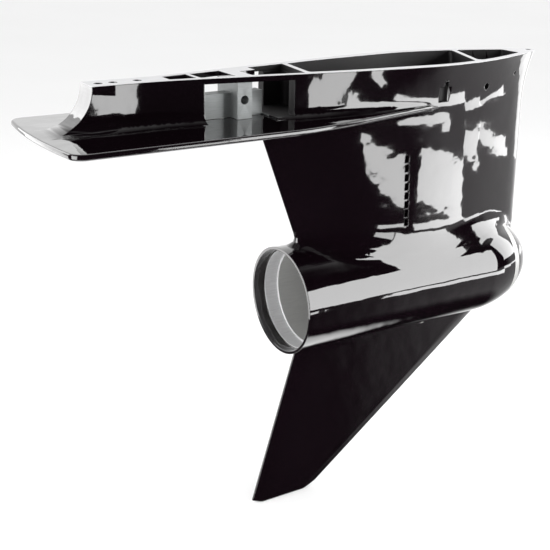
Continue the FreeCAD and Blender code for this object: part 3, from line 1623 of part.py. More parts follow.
def drain():
    washer = size("drain_washer_thickness")
    thread = size("drain_thread_radius")
    head_radius = size("drain_head_radius")
    ring_shape = Part.makeCylinder(head_radius - 0.4, washer).cut(Part.makeCylinder(thread, washer))
    head = Part.makeCylinder(head_radius, size("drain_head_height"), Vector(0, 0, washer))
    plug = head.fuse(Part.makeCylinder(thread, 12, Vector(0, 0, washer - 12)))
    slot = box(-head_radius, head_radius, -0.9, 0.9, washer + size("drain_head_height") - 1.6, washer + 6)
    plug = plug.cut(slot)
    for label, shape in (("drain_plug", plug), ("drain_plug_washer", ring_shape)):
        piece = doc.addObject("Part::Feature", label)
        piece.Shape = shape
        piece.Placement = drain_frame()
        PIECES.append(piece)


shaped("gearcase_housing", gearcase(), ("0", "0", "0"))
bearing_stack()
needle_bearing()
gear_train()
shaft_line()
seal_stack()
water_pump()
shift_linkage()
drain()
doc.recompute()

os.makedirs("parts", exist_ok=True)
for piece in PIECES:
    bad = [state for state in piece.State if state in ("Invalid", "Error")]
    if bad or piece.Shape.isNull() or not piece.Shape.isValid():
        raise RuntimeError(f"{piece.Label} is not sound: {bad}")
for piece in PIECES:
    piece.Shape.exportStep(f"parts/{piece.Label}.step")
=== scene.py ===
import json
import math

import bmesh
import bpy
import numpy as np
from mathutils import Matrix, Vector


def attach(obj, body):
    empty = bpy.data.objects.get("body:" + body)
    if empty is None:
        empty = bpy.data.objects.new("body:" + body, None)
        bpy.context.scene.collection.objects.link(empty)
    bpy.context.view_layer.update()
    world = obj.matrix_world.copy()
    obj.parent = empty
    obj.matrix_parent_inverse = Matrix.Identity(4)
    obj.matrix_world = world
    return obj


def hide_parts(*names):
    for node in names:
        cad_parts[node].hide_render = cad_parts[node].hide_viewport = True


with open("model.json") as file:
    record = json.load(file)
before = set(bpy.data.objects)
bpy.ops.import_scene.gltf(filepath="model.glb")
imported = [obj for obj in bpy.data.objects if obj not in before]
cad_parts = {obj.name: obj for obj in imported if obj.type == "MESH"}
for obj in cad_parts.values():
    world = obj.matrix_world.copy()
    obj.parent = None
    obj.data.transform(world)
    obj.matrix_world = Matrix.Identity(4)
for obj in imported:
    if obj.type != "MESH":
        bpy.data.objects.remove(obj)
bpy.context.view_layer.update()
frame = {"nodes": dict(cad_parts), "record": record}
nodes = frame["nodes"]


# Sizes of the casting's drawn skin, in millimetres from the drive shaft's axis and the deck's face

DROP = 261.0
TORPEDO = 62.0
NOSE_X = 68.0
NOSE_LENGTH = 92.0
RIM_X = -200.5
PLATE_DEPTH = 44.0

FLARE_DEPTH = 62.0
FLARE_GAIN = 12.0
WIDEST = 25.0
STRUT_TIP = 145.5
FOOT_REACH = 6.5
STRUT_HALF = 46.5
FOOT_NARROWING = 5.5
NOSE_STEPS = (1.0, 0.72, 0.48, 0.27, 0.10, 0.025)

TAIL_X = -236.0
TAIL_RAKE = 0.375
TAIL_HALF = 4.5
TAIL_COVE = 14.0
TAIL_ROUND = 0.65
TAIL_STEPS = (0.4, 0.72)

SHOULDER_X = 110.0
SHOULDER_HALF = 51.0
SHOULDER_NARROWING = 5.0
SHOULDER_SPREAD = 0.6
# The walls' half-width by distance aft
WALL_HALVES = {200.0: 38.0, 300.0: 22.0, 365.0: 14.5, 419.0: 15.5, 465.0: 15.5}
WALL_COVE = 8.0

FOOT_COVE = 24.0
TIP_COVE = 4.0
COVE_GROWTH = 0.4
SWELL = 120.0
SWELL_GROWTH = 0.68
SWELL_RISE = (12.0, 100.0)

# Bare metal on the casting, in metres: deck, the window's web and clamp pad, the bore's land and barrel

DECK_SKIM = -0.00025
WEB_X = (-0.3045, -0.2305)
WEB_Y = (-0.0215, 0.0215)
WEB_Z = (-0.0435, -0.006)
LAND_RADIUS = 0.0575
LAND_X = (-0.1862, -0.1685)
BARREL_RADIUS = 0.0552
BARREL_X = (-0.1695, 0.12)

# Dark and light tints of the paint, of each bare face and of the floor

PAINT = ((0.0016, 0.0007, 0.0012), (0.0032, 0.0015, 0.0026))
MILLED = ((0.52, 0.52, 0.53), (0.80, 0.80, 0.81))
# The barrel's tint is bare metal darkened as painted shade deep in the bore
BORED_IN_SHADE = ((0.46, 0.46, 0.45), (0.62, 0.62, 0.61))
# The web's and clamp pad's tint is bare metal darkened as painted shade inside the window
WEB_IN_SHADE = ((0.16, 0.17, 0.17), (0.28, 0.29, 0.29))
FLOOR_WHITE = ((0.90, 0.90, 0.90), (0.93, 0.93, 0.93))

# Metals by slot: tint, roughness, and how fine the grain is along x, y and z

METALS = {
    "bare_aluminium": ((0.72, 0.72, 0.73), 0.34, (1.0, 1.0, 9.0)),
    "bearing_steel": ((0.62, 0.63, 0.65), 0.16, (1.0, 1.0, 12.0)),
    "plain_steel": ((0.36, 0.36, 0.37), 0.38, (3.0, 3.0, 3.0)),
    "gear_steel": ((0.33, 0.33, 0.35), 0.24, (6.0, 6.0, 1.0)),
    "drive_steel": ((0.58, 0.58, 0.59), 0.22, (1.0, 1.0, 14.0)),
    "stainless_steel": ((0.66, 0.65, 0.64), 0.28, (8.0, 1.0, 1.0)),
    "bush_bronze": ((0.60, 0.40, 0.19), 0.30, (1.0, 1.0, 10.0)),
}

# Moulded pieces by slot: tint, roughness and fineness of the grain

MOULDINGS = {
    "nitrile_rubber": ((0.020, 0.020, 0.021), 0.55, 420.0),
    "impeller_rubber": ((0.035, 0.035, 0.038), 0.62, 420.0),
    "gasket_sheet": ((0.26, 0.27, 0.24), 0.80, 700.0),
    "pump_plastic": ((0.045, 0.045, 0.05), 0.42, 300.0),
}

# Soft edges, in metres

METAL_EDGE = 0.0003
MOULDED_EDGE = 0.0005
MACHINED_EDGE = 0.0004
PAINTED_EDGE = 0.0012


# Node building

class Shader:
    """A small wrapper that adds shader nodes and joins them up."""

    def __init__(self, name):
        self.material = bpy.data.materials.new(name)
        self.material.use_nodes = True
        self.tree = self.material.node_tree
        self.tree.nodes.clear()
        out = self.tree.nodes.new("ShaderNodeOutputMaterial")
        self.main = self.tree.nodes.new("ShaderNodeBsdfPrincipled")
        self.tree.links.new(self.main.outputs[0], out.inputs[0])

    def feed(self, value, socket):
        if hasattr(value, "links"):
            self.tree.links.new(value, socket)
        elif value is not None:
            socket.default_value = value

    def math(self, kind, first, second=None):
        node = self.tree.nodes.new("ShaderNodeMath")
        node.operation = kind
        self.feed(first, node.inputs[0])
        self.feed(second, node.inputs[1])
        return node.outputs[0]

    def noise(self, vector, scale, detail, rough):
        node = self.tree.nodes.new("ShaderNodeTexNoise")
        self.feed(vector, node.inputs["Vector"])
        node.inputs["Scale"].default_value = scale
        node.inputs["Detail"].default_value = detail
        node.inputs["Roughness"].default_value = rough
        return node.outputs["Fac"]

    def place(self):
        return self.tree.nodes.new("ShaderNodeTexCoord").outputs["Object"]

    def stretched(self, vector, scale):
        node = self.tree.nodes.new("ShaderNodeMapping")
        self.feed(vector, node.inputs["Vector"])
        node.inputs["Scale"].default_value = scale
        return node.outputs[0]

    def split(self, vector):
        node = self.tree.nodes.new("ShaderNodeSeparateXYZ")
        self.feed(vector, node.inputs[0])
        return node.outputs[0], node.outputs[1], node.outputs[2]

    def within(self, value, start, end):
        above = self.math("GREATER_THAN", value, start)
        below = self.math("LESS_THAN", value, end)
        return self.math("MULTIPLY", above, below)

    def ramp(self, value, start, end):
        node = self.tree.nodes.new("ShaderNodeMapRange")
        self.feed(value, node.inputs["Value"])
        node.inputs["To Min"].default_value = start
        node.inputs["To Max"].default_value = end
        return node.outputs[0]

    def mix(self, share, first, second):
        node = self.tree.nodes.new("ShaderNodeMix")
        node.data_type = "RGBA"
        self.feed(share, node.inputs[0])
        self.feed(first, node.inputs[6])
        self.feed(second, node.inputs[7])
        return node.outputs[2]

    def drift(self, share, tints):
        """Colour that drifts from a dark tint to a light one."""
        return self.mix(share, colour(*tints[0]), colour(*tints[1]))

    def blend(self, share, first, second):
        node = self.tree.nodes.new("ShaderNodeMix")
        self.feed(share, node.inputs[0])
        self.feed(first, node.inputs[2])
        self.feed(second, node.inputs[3])
        return node.outputs[0]

    def blend_normals(self, share, first, second):
        node = self.tree.nodes.new("ShaderNodeMix")
        node.data_type = "VECTOR"
        self.feed(share, node.inputs[0])
        self.feed(first, node.inputs[4])
        self.feed(second, node.inputs[5])
        return node.outputs[1]

    def bump(self, height, strength, distance, normal):
        node = self.tree.nodes.new("ShaderNodeBump")
        self.feed(height, node.inputs["Height"])
        self.feed(strength, node.inputs["Strength"])
        self.feed(distance, node.inputs["Distance"])
        self.feed(normal, node.inputs["Normal"])
        return node.outputs[0]

    def soft_edge(self, radius):
        node = self.tree.nodes.new("ShaderNodeBevel")
        node.samples = 6
        node.inputs["Radius"].default_value = radius
        return node.outputs[0]

    def marked(self, name):
        """What the mesh says under a name, from 0 to 1."""
        node = self.tree.nodes.new("ShaderNodeAttribute")
        node.attribute_name = name
        return node.outputs["Fac"]

    def set(self, **values):
        for name, value in values.items():
            self.feed(value, self.main.inputs[name.replace("_", " ")])
        return self.material


def colour(red, green, blue):
    return (red, green, blue, 1.0)


def metal(name, tint, rough, grain):
    """Cut or ground metal: long fine grain, a little colour drift, slightly rounded edges."""
    look = Shader(name)
    place = look.place()
    fine = look.noise(look.stretched(place, grain), 90.0, 4.0, 0.6)
    cloud = look.noise(place, 24.0, 3.0, 0.5)
    dark = [channel * 0.78 for channel in tint]
    return look.set(
        Base_Color=look.drift(cloud, (dark, tint)),
        Metallic=1.0,
        Roughness=look.ramp(fine, rough * 0.8, rough * 1.35),
        Normal=look.bump(fine, 0.12, 0.0002, look.soft_edge(METAL_EDGE)),
    )


def moulded(name, tint, rough, grain):
    """Rubber, plastic or gasket sheet: fine even grain and a faint cloudiness."""
    look = Shader(name)
    place = look.place()
    fine = look.noise(place, grain, 2.0, 0.6)
    cloud = look.noise(place, 30.0, 3.0, 0.5)
    dark = [channel * 0.7 for channel in tint]
    return look.set(
        Base_Color=look.drift(cloud, (dark, tint)),
        Roughness=look.ramp(fine, rough * 0.9, min(1.0, rough * 1.15)),
        Normal=look.bump(fine, 0.25, 0.0002, look.soft_edge(MOULDED_EDGE)),
    )


def bare_faces(look, place):
    """Masks of the casting's machined faces: all of them, the window's web, and the bore's barrel."""
    x, y, z = look.split(place)
    deck = look.math("GREATER_THAN", z, DECK_SKIM)
    web = look.math("MULTIPLY", look.within(x, *WEB_X), look.within(z, *WEB_Z))
    web = look.math("MULTIPLY", web, look.within(y, *WEB_Y))
    rise = look.math("ADD", z, DROP / 1000)
    squares = look.math("ADD", look.math("MULTIPLY", y, y), look.math("MULTIPLY", rise, rise))
    radius = look.math("SQRT", squares)
    land = look.math("MULTIPLY", look.math("LESS_THAN", radius, LAND_RADIUS), look.within(x, *LAND_X))
    barrel = look.math("MULTIPLY", look.math("LESS_THAN", radius, BARREL_RADIUS), look.within(x, *BARREL_X))
    bare = look.math("MAXIMUM", look.math("MAXIMUM", deck, web), look.math("MAXIMUM", land, barrel))
    return bare, web, barrel


def casting():
    """Gloss black paint, matt inside the deck's bays, with bare machined faces."""
    look = Shader("gearcase_paint")
    place = look.place()
    bare, web, barrel = bare_faces(look, place)
    matt = look.marked("sheltered")
    fine = look.noise(place, 900.0, 3.0, 0.6)
    swirl = look.noise(look.stretched(place, (1.0, 14.0, 14.0)), 60.0, 4.0, 0.6)
    cloud = look.noise(place, 9.0, 3.0, 0.5)

    # Deep in the bore the barrel takes the darker tint: painted shade
    machined = look.mix(barrel, look.drift(swirl, MILLED), look.drift(swirl, BORED_IN_SHADE))
    # Inside the window the bare metal takes the darker tint: painted shade
    machined = look.mix(web, machined, look.drift(swirl, WEB_IN_SHADE))
    rough_paint = look.blend(matt, look.ramp(cloud, 0.035, 0.075), look.ramp(fine, 0.5, 0.7))
    waves = look.bump(look.noise(place, 17.0, 2.5, 0.55), 1.0, 0.0008, look.soft_edge(PAINTED_EDGE))
    peel = look.bump(look.noise(place, 160.0, 2.0, 0.4), 0.035, 0.0003, waves)
    cuts = look.bump(swirl, 0.08, 0.0002, look.soft_edge(MACHINED_EDGE))
    return look.set(
        Base_Color=look.mix(bare, look.drift(cloud, PAINT), machined),
        Metallic=look.math("MULTIPLY", bare, 0.6),
        Roughness=look.blend(bare, rough_paint, look.ramp(swirl, 0.38, 0.52)),
        Normal=look.blend_normals(bare, peel, cuts),
        Specular_IOR_Level=0.5,
        Coat_Weight=look.blend(look.math("MAXIMUM", bare, matt), 1.0, 0.0),
        Coat_Roughness=0.02,
        Coat_Normal=peel,
    )


LOOKS = {"gearcase_paint": casting()}
for slot, facts in METALS.items():
    LOOKS[slot] = metal(slot, *facts)
for slot, facts in MOULDINGS.items():
    LOOKS[slot] = moulded(slot, *facts)
slots = {row["node"]: row["material_slot"] for row in frame["record"]["subparts"]}
for name, piece in nodes.items():
    piece.data.materials.clear()
    piece.data.materials.append(LOOKS[slots[name]])


# Smooth skin: the CAD casting's facets are split finer and laid on the curves that its skin was drawn from

WELD = 2e-6
EDGE_LIMITS = (0.05, 0.03, 0.018, 0.011, 0.007, 0.005, 0.005)
CAD_SLACK = 0.6
SPLIT_SLACK = 1.8
HULL_SLACK = 0.8
HEIGHT_SLACK = 0.01
NOSE_ZONE = 16.0
NOSE_END = 5.0
OFF_SIDE = -99.0
OFF_NOSE = -999.0
NOSE_SAMPLES = 241
SIDE_SAMPLES = 161
STEP_X = 2.5
STEP_Y = 1.0
STEP_Z = 3.0
LEAST_SWELL = 0.005
BAYS_X = (-225.0, 145.0)
BAYS_TOP = -0.3
WALL_MARGIN = 2.0
SHARP_ANGLE = 32
DRAWN_ANGLE = 50
CREASE = 0.85


def flare(z):
    """How much of the deck's flare is left at a height, from 1 at the deck to 0."""
    return max(0.0, 1 + z / FLARE_DEPTH) ** 2


def foot_share(z):
    """How far down the strut a height is, from 0 under the flare to 1 at the propeller shaft."""
    return max(0.0, (-z - FLARE_DEPTH) / (DROP - FLARE_DEPTH))


def tip_reach(z):
    return STRUT_TIP + FOOT_REACH * foot_share(z) + FLARE_GAIN * flare(z)


def widest_half(z):
    return STRUT_HALF - FOOT_NARROWING * foot_share(z) + FLARE_GAIN * flare(z)


def ogive(step):
    """Share of the widest half-width at a share of the way back from the nose's tip."""
    return 1 - (1 - step) ** 2 + 0.45 * math.sqrt(step) * (1 - step) ** 6


def tail_reach(z):
    return TAIL_X + TAIL_RAKE * (-z - PLATE_DEPTH)


def tail_half(z, step):
    return TAIL_HALF + (widest_half(z) - TAIL_HALF) * (1 - step**2)


def nose_share(x):
    """How far along the torpedo's nose a station is, from 0 where it starts to 1 at its tip."""
    return max(0.0, (x - NOSE_X) / NOSE_LENGTH)


def torpedo_half(x):
    along = nose_share(x)
    return TORPEDO * math.sqrt(max(0.0, 1 - along * along))


def round_half(x, rise):
    return math.sqrt(max(0.0, torpedo_half(x) ** 2 - rise**2))


def coved(half, x, rise, cove):
    """The strut's half-width with a hollow cove of the radius given where it meets the torpedo."""
    hull = torpedo_half(x)
    if half >= hull:
        return half
    start = math.sqrt((hull + cove) ** 2 - (half + cove) ** 2)
    if rise >= start:
        return half
    if rise >= start * hull / (hull + cove):
        return half + cove - math.sqrt(cove * cove - (start - rise) ** 2)
    return (half + cove) * hull / (hull + cove)


def nose_cove(limit, growth, length, step):
    """The cove's radius, which grows back from the nose's tip to its limit."""
    return min(limit, TIP_COVE + growth * length * step)


def swell(x, z):
    """How far the shown skin stands off the casting's, where the strut widens gently into the torpedo."""
    rise = z + DROP
    if not SWELL_RISE[0] < rise < SWELL_RISE[1]:
        return 0.0
    if x >= -WIDEST:
        length = tip_reach(z) + WIDEST
        step = (tip_reach(z) - x) / length
        if step <= 0:
            return 0.0
        half = widest_half(z) * ogive(step)
        drawn = nose_cove(FOOT_COVE, COVE_GROWTH, length, step)
        shown = nose_cove(SWELL, SWELL_GROWTH, length, step)
    else:
        step = (-WIDEST - x) / (-WIDEST - tail_reach(z))
        if step >= 1:
            return 0.0
        half = tail_half(z, step)
        drawn = FOOT_COVE
        shown = FOOT_COVE + (SWELL - FOOT_COVE) * (1 - step**2)
    hull = round_half(x, rise)
    return max(coved(half, x, rise, shown), hull) - max(coved(half, x, rise, drawn), hull)


def nose_line(z):
    """Points of the outline round the nose, from the widest station at port to the one at starboard."""
    length = tip_reach(z) + WIDEST
    port = []
    for step in NOSE_STEPS:
        x = tip_reach(z) - length * step
        cove = nose_cove(FOOT_COVE, COVE_GROWTH, length, step)
        port.append((x, coved(widest_half(z) * ogive(step), x, z + DROP, cove)))
    return np.array(port + [(tip_reach(z), 0.0)] + [(x, -half) for x, half in reversed(port)])


def tail_line(z):
    """Points of the strut's port outline, from its widest station to its rounded trailing edge."""
    raked = tail_reach(z)
    length = -WIDEST - raked
    into = max(0.0, min(TAIL_COVE, TORPEDO + TAIL_COVE - DROP - z))
    tail = coved(TAIL_HALF, raked, z + DROP, TAIL_COVE)
    points = [(-WIDEST, coved(widest_half(z), 0, z + DROP, FOOT_COVE))]
    for step in TAIL_STEPS:
        points.append((-WIDEST - length * step, coved(tail_half(z, step), 0, z + DROP, FOOT_COVE)))
    back = raked - TAIL_COVE + math.sqrt(TAIL_COVE**2 - into * into)
    points.append((back + TAIL_ROUND * tail, tail))
    return np.array(points)


def wall_line(z):
    """Points of the port wall under the deck, from its widest station to its rear, with a cove at its foot."""
    into = max(0.0, min(WALL_COVE, -z - PLATE_DEPTH + WALL_COVE))
    spread = WALL_COVE - math.sqrt(WALL_COVE**2 - into * into)
    shoulder = SHOULDER_HALF - SHOULDER_NARROWING * (1 - flare(z))
    points = [(-WIDEST, widest_half(z)), (-SHOULDER_X, shoulder + spread * SHOULDER_SPREAD)]
    points += [(-x, half + spread) for x, half in WALL_HALVES.items()]
    return np.array(points)


def curve(points, pattern, start, end, count):
    """Points on the smooth curve that leaves along start and arrives along end, spaced as the pattern is."""
    steps = np.linalg.norm(np.diff(pattern, axis=0), axis=1)
    marks = np.concatenate([[0.0], np.cumsum(steps)])
    size = len(points)
    system = np.zeros((size, size))
    wanted = np.zeros((size, 2))
    system[0, 0] = system[-1, -1] = 1.0
    wanted[0], wanted[-1] = start, end
    for row in range(1, size - 1):
        before, after = steps[row - 1], steps[row]
        system[row, row - 1 : row + 2] = after, 2 * (before + after), before
        arriving = after * (points[row] - points[row - 1]) / before
        leaving = before * (points[row + 1] - points[row]) / after
        wanted[row] = 3 * (arriving + leaving)
    slopes = np.linalg.solve(system, wanted)
    spots = np.linspace(0, marks[-1], count)
    span = np.clip(np.searchsorted(marks, spots, side="right") - 1, 0, size - 2)
    length = steps[span][:, None]
    part = ((spots - marks[span]) / steps[span])[:, None]
    return (
        (2 * part**3 - 3 * part**2 + 1) * points[span]
        + (part**3 - 2 * part**2 + part) * length * slopes[span]
        + (3 * part**2 - 2 * part**3) * points[span + 1]
        + (part**3 - part**2) * length * slopes[span + 1]
    )


def unit(vector):
    return vector / np.linalg.norm(vector)


def skin_rows(z, tail):
    """Station and half-width samples of one outline, from its rear to the tip of its nose."""
    whole = curve(nose_line(z), nose_line(-FLARE_DEPTH), (1.0, 0.0), (-1.0, 0.0), NOSE_SAMPLES)
    port = tail(z)
    pattern = tail(-FLARE_DEPTH if tail is tail_line else 0.0)
    side = curve(port, pattern, (-1.0, 0.0), unit(port[-1] - port[-2]), SIDE_SAMPLES)
    return side[::-1], whole[: NOSE_SAMPLES // 2 + 1]


class Skin:
    """The skin's half-width by station and height, looked up between outlines one millimetre apart."""

    def __init__(self, top, foot, tail):
        self.top = top
        self.rows = []
        for level in range(int(top - foot) + 2):
            rear, front = skin_rows(top - level, tail)
            self.rows.append((np.vstack([rear, front[1:]]), front))

    def between(self, z):
        """The outline above a height, and how far the height is from it towards the one below."""
        level = max(0.0, min(len(self.rows) - 1.001, self.top - z))
        return int(level), level - int(level)

    def half(self, x, z):
        level, share = self.between(z)
        found = []
        for outline, _ in self.rows[level : level + 2]:
            found.append(np.interp(x, outline[:, 0], outline[:, 1], left=OFF_SIDE, right=OFF_SIDE))
        return found[0] + (found[1] - found[0]) * share

    def nose(self, y, z):
        level, share = self.between(z)
        found = []
        for _, front in self.rows[level : level + 2]:
            found.append(np.interp(y, front[::-1, 1], front[::-1, 0], right=OFF_NOSE))
        return found[0] + (found[1] - found[0]) * share


class Patch:
    """One drawn skin with the range of heights that it covers."""

    def __init__(self, top, foot, rear, tail):
        self.skin = Skin(top + 1, foot - 2, tail)
        self.top = top
        self.foot = foot
        self.rear = rear

    def lay(self, x, y, z, slack):
        """The spot on the skin for a point within the slack of it, or None."""
        if not self.foot <= z <= self.top + HEIGHT_SLACK or x < self.rear:
            return None
        reach = tip_reach(z)
        if x > reach - NOSE_ZONE:
            nose = self.skin.nose(abs(y), z)
            if abs(x - nose) < slack:
                return nose, y, z
        if x < reach - NOSE_END:
            half = self.skin.half(x, z)
            if abs(abs(y) - half) < slack:
                return x, math.copysign(half, y), z
        return None

    def shown_half(self, x, z):
        return max(self.skin.half(x, z), round_half(x, z + DROP)) + swell(x, z)

    def normal(self, x, y, z):
        """Direction straight out of the drawn skin, from its slopes along and down, or None off its ends."""
        upper, lower = min(self.top, z + STEP_Z), max(self.foot, z - STEP_Z)
        if x > tip_reach(z) - NOSE_ZONE:
            across = self.skin.nose(abs(y + STEP_Y), z) - self.skin.nose(abs(y - STEP_Y), z)
            down = self.skin.nose(abs(y), upper) - self.skin.nose(abs(y), lower)
            return Vector((1.0, -across / (2 * STEP_Y), -down / (upper - lower))).normalized()
        fore, aft = x + STEP_X, x - STEP_X
        around = ((fore, z), (aft, z), (x, upper), (x, lower))
        if min(self.skin.half(*spot) for spot in around) < 0:
            return None
        halves = [self.shown_half(*spot) for spot in around]
        along = (halves[0] - halves[1]) / (2 * STEP_X)
        down = (halves[2] - halves[3]) / (upper - lower)
        return Vector((-along, math.copysign(1.0, y), -down)).normalized()


class Torpedo:
    """The round hull with its rounded nose."""

    def lay(self, x, y, z, slack):
        """The spot on the hull for a point within the slack of it, or None."""
        rise = z + DROP
        radius = math.hypot(y, rise)
        along = nose_share(x)
        share = math.hypot(along, radius / TORPEDO)
        if x < RIM_X or radius < 1 or abs(share - 1) * TORPEDO > slack * HULL_SLACK:
            return None
        if along > 0:
            x = NOSE_X + (x - NOSE_X) / share
        return x, y / share, rise / share - DROP

    def normal(self, x, y, z):
        """Direction straight out of the hull."""
        out = Vector((nose_share(x) / NOSE_LENGTH, y / TORPEDO**2, (z + DROP) / TORPEDO**2))
        return out.normalized()


def lay(vertex, forms, slack):
    """Move a vertex onto the first drawn form that it lies near, and return that form."""
    for form in forms:
        spot = form.lay(*(vertex.co * 1000), slack)
        if spot is not None:
            vertex.co = Vector(spot) / 1000
            return form
    return None


def split_and_lay(body, forms):
    """Split the skin to short edges, laid on its drawn forms. Returns each vertex's form."""
    laid = {vertex: lay(vertex, forms, CAD_SLACK) for vertex in body.verts}
    for limit in EDGE_LIMITS:
        edges = []
        for edge in body.edges:
            if edge.calc_length() > limit and laid[edge.verts[0]] and laid[edge.verts[1]]:
                edges.append(edge)
        bmesh.ops.subdivide_edges(body, edges=edges, cuts=1)
        bmesh.ops.triangulate(body, faces=[face for face in body.faces if len(face.verts) > 3])
        for vertex in body.verts:
            if vertex not in laid:
                laid[vertex] = lay(vertex, forms, SPLIT_SLACK)
    return laid


def swell_and_point(body, laid, strut):
    """Give the strut its gentle swell. Returns the drawn normal of each laid vertex, by its index."""
    normals = {}
    body.verts.index_update()
    for vertex in body.verts:
        form = laid[vertex]
        if form:
            x, y, z = vertex.co * 1000
            rise = swell(x, z) if z < strut.top else 0.0
            normals[vertex.index] = (strut if rise > LEAST_SWELL else form).normal(x, y, z)
            vertex.co.y += math.copysign(rise, y) / 1000
    return normals


def smooth_casting(source):
    """Copy of the casting with a smooth outer skin, and the drawn normals of that skin."""
    body = bmesh.new()
    body.from_mesh(source.data)
    bmesh.ops.remove_doubles(body, verts=body.verts, dist=WELD)
    strut = Patch(top=-47.0, foot=-243.0, rear=-232.0, tail=tail_line)
    walls = Patch(top=0.0, foot=-46.9, rear=-418.0, tail=wall_line)
    laid = split_and_lay(body, [Torpedo(), walls, strut])
    normals = swell_and_point(body, laid, strut)
    mesh = bpy.data.meshes.new("gearcase_skin")
    body.to_mesh(mesh)
    body.free()
    mark_sheltered(mesh, normals, walls.skin)
    piece = bpy.data.objects.new("gearcase_skin", mesh)
    bpy.context.collection.objects.link(piece)
    return piece, normals


def mark_sheltered(mesh, normals, walls):
    """Mark the faces inside the deck's bays, which keep a matt coat."""
    marks = mesh.attributes.new("sheltered", "FLOAT", "FACE")
    for face in mesh.polygons:
        x, y, z = face.center * 1000
        outer = all(index in normals for index in face.vertices)
        if outer or not -PLATE_DEPTH < z < BAYS_TOP or not BAYS_X[0] < x < BAYS_X[1]:
            continue
        if abs(y) < walls.half(x, z) - WALL_MARGIN:
            marks.data[face.index].value = 1.0


def shade(piece):
    """Smooth shading broken at sharp edges."""
    mesh = piece.data
    mesh.shade_smooth()
    mesh.set_sharp_from_angle(angle=math.radians(SHARP_ANGLE))
    weighted = piece.modifiers.new("weighted", "WEIGHTED_NORMAL")
    weighted.keep_sharp = True


def shade_as_drawn(piece, normals):
    """Shade the laid skin straight from its drawn curves, and even out corners that lean off their faces."""
    bpy.context.view_layer.update()
    shaded = piece.evaluated_get(bpy.context.evaluated_depsgraph_get()).data
    corners = [corner.vector.copy() for corner in shaded.corner_normals]
    near = math.cos(math.radians(DRAWN_ANGLE))
    for face in piece.data.polygons:
        drawn = [normals.get(index) for index in face.vertices]
        smooth = all(normal and normal.dot(face.normal) > near for normal in drawn)
        for corner, normal in zip(face.loop_indices, drawn):
            if smooth:
                corners[corner] = normal
            elif corners[corner].dot(face.normal) < CREASE:
                corners[corner] = face.normal.copy()
    piece.modifiers.clear()
    piece.data.normals_split_custom_set(corners)


skin, skin_normals = smooth_casting(nodes["gearcase_housing"])
skin.data.materials.append(LOOKS["gearcase_paint"])
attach(skin, "gearcase")
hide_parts("gearcase_housing")
for piece in [skin] + list(nodes.values()):
    shade(piece)
shade_as_drawn(skin, skin_normals)


# Stage, light and camera

FLOOR_SIZE = 14.0
FLOOR_Z = -0.5185
AIM = Vector((-0.05, 0.0, -0.2))
PANEL_DISTANCE = 1.6

# Soft panels: azimuth and elevation in degrees from +X, the angles they span across and up, and brightness

PANELS = {
    "window": (-55.5, 8.6, 29.0, 35.6, 6.5),
    "low_strip": (-43.5, -14.3, 25.0, 5.4, 6.5),
    "right_strip": (-27.0, -9.4, 9.5, 3.4, 5.2),
    "far_strip": (-15.0, -8.4, 15.0, 1.8, 4.4),
    "flare_pane": (-74.0, -5.5, 7.0, 7.0, 5.5),
    "side_pane": (-70.0, -15.4, 15.0, 3.6, 6.0),
    "nose_window": (-20.0, 17.0, 24.0, 30.0, 5.5),
    "edge_pane": (8.0, -6.5, 12.0, 5.0, 2.0),
    "rear": (-172.0, 6.0, 34.0, 50.0, 6.0),
    "port_window": (128.0, 6.0, 22.0, 60.0, 2.5),
}

# The mirrored room by the ray's direction: each step's start and end, and its strength before and after

BACKDROP_AIM = (0.46, 0.82, 0.34)
BACKDROP = (0.25, 0.85, 0.0, 1.1)
UNDER_EDGE = (-0.16, -0.08, 1.0, 0.0)
PORT_EDGE = (-0.5, -0.35, 0.0, 1.0)
FRONT_EDGE = (0.5, 0.72, 0.008, 0.42)
FRONT_FOOT = (-0.76, -0.62, 0.0, 1.0)
TABLE = (-0.85, -0.80, 2.2, 0.0)
DIM = 0.006

# Camera fitted to the rim's ellipse, the deck's edge and the leading edge

SENSOR = 36.0
FOCAL_LENGTH = 65.45
CAMERA_PLACE = (-0.7596, -0.8932, 0.1613)
CAMERA_RIGHT = (0.8535, -0.5208, 0.0157)
CAMERA_UP = (0.1688, 0.3048, 0.9373)
CAMERA_BACK = (-0.4930, -0.7974, 0.3481)


def pale_floor():
    bpy.ops.mesh.primitive_plane_add(size=FLOOR_SIZE, location=(0.0, 0.0, FLOOR_Z))
    floor = bpy.context.object
    floor.name = "floor"
    look = Shader("floor_pale")
    pale = look.drift(look.noise(look.place(), 1.5, 2.0, 0.5), FLOOR_WHITE)
    floor.data.materials.append(look.set(Base_Color=pale, Roughness=0.7))
    floor.visible_glossy = False
    floor.visible_shadow = False


def soft_light(name, azimuth, elevation, wide, tall, brightness):
    """A soft panel that faces the object's middle."""
    turn, rise = math.radians(azimuth), math.radians(elevation)
    towards = Vector((math.cos(rise) * math.cos(turn), math.cos(rise) * math.sin(turn), math.sin(rise)))
    data = bpy.data.lights.new(name, "AREA")
    data.shape = "RECTANGLE"
    data.size = 2 * PANEL_DISTANCE * math.tan(math.radians(wide / 2))
    data.size_y = 2 * PANEL_DISTANCE * math.tan(math.radians(tall / 2))
    data.energy = brightness * math.pi * data.size * data.size_y
    lamp = bpy.data.objects.new(name, data)
    bpy.context.collection.objects.link(lamp)
    lamp.location = AIM + PANEL_DISTANCE * towards
    lamp.rotation_mode = "QUATERNION"
    lamp.rotation_quaternion = (-towards).to_track_quat("-Z", "Y")


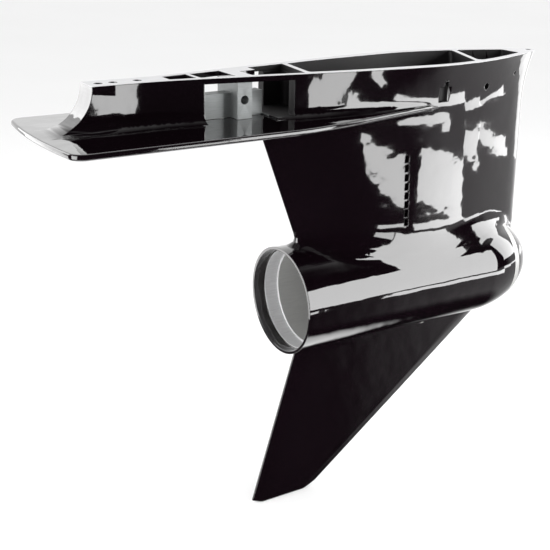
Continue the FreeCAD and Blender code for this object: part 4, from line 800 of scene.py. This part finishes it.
class Sky(Shader):
    """Shader nodes of the world behind everything."""

    def __init__(self, world):
        world.use_nodes = True
        self.tree = world.node_tree
        self.back = self.tree.nodes["Background"]

    def step(self, value, start, end, before, after):
        node = self.tree.nodes.new("ShaderNodeMapRange")
        node.interpolation_type = "SMOOTHSTEP"
        self.feed(value, node.inputs["Value"])
        node.inputs["From Min"].default_value = start
        node.inputs["From Max"].default_value = end
        node.inputs["To Min"].default_value = before
        node.inputs["To Max"].default_value = after
        return node.outputs[0]

    def towards(self, direction, aim):
        """How closely a direction agrees with an aim, up to 1."""
        node = self.tree.nodes.new("ShaderNodeVectorMath")
        node.operation = "DOT_PRODUCT"
        self.feed(direction, node.inputs[0])
        node.inputs[1].default_value = aim
        return node.outputs["Value"]


def sky():
    """White to the camera and to soft light. Mirrored rays see a dim room, a backdrop and a table."""
    world = bpy.data.worlds.new("studio")
    bpy.context.scene.world = world
    room = Sky(world)
    direction = room.tree.nodes.new("ShaderNodeTexCoord").outputs["Generated"]
    x, y, z = room.split(direction)
    backdrop = room.step(room.towards(direction, BACKDROP_AIM), *BACKDROP)
    side = room.math("MAXIMUM", room.step(z, *UNDER_EDGE), room.step(y, *PORT_EDGE))
    front = room.math("MULTIPLY", room.step(x, *FRONT_EDGE), room.step(z, *FRONT_FOOT))
    front = room.math("MULTIPLY", front, side)
    table = room.step(z, *TABLE)
    seen = room.math("ADD", room.math("ADD", backdrop, front), room.math("ADD", table, DIM))
    mirrored = room.tree.nodes.new("ShaderNodeLightPath").outputs["Is Glossy Ray"]
    room.feed(room.blend(mirrored, 1.0, seen), room.back.inputs["Strength"])
    room.back.inputs["Color"].default_value = colour(1.0, 1.0, 1.0)


def photo_camera():
    lens = bpy.data.cameras.new("camera")
    lens.sensor_width = SENSOR
    lens.lens = FOCAL_LENGTH
    camera = bpy.data.objects.new("camera", lens)
    bpy.context.collection.objects.link(camera)
    turn = Matrix((CAMERA_RIGHT, CAMERA_UP, CAMERA_BACK)).transposed().to_4x4()
    camera.matrix_world = Matrix.Translation(CAMERA_PLACE) @ turn
    return camera


pale_floor()
sky()
for name, facts in PANELS.items():
    soft_light(name, *facts)
bpy.context.scene.camera = photo_camera()
bpy.context.scene.view_settings.view_transform = "Standard"
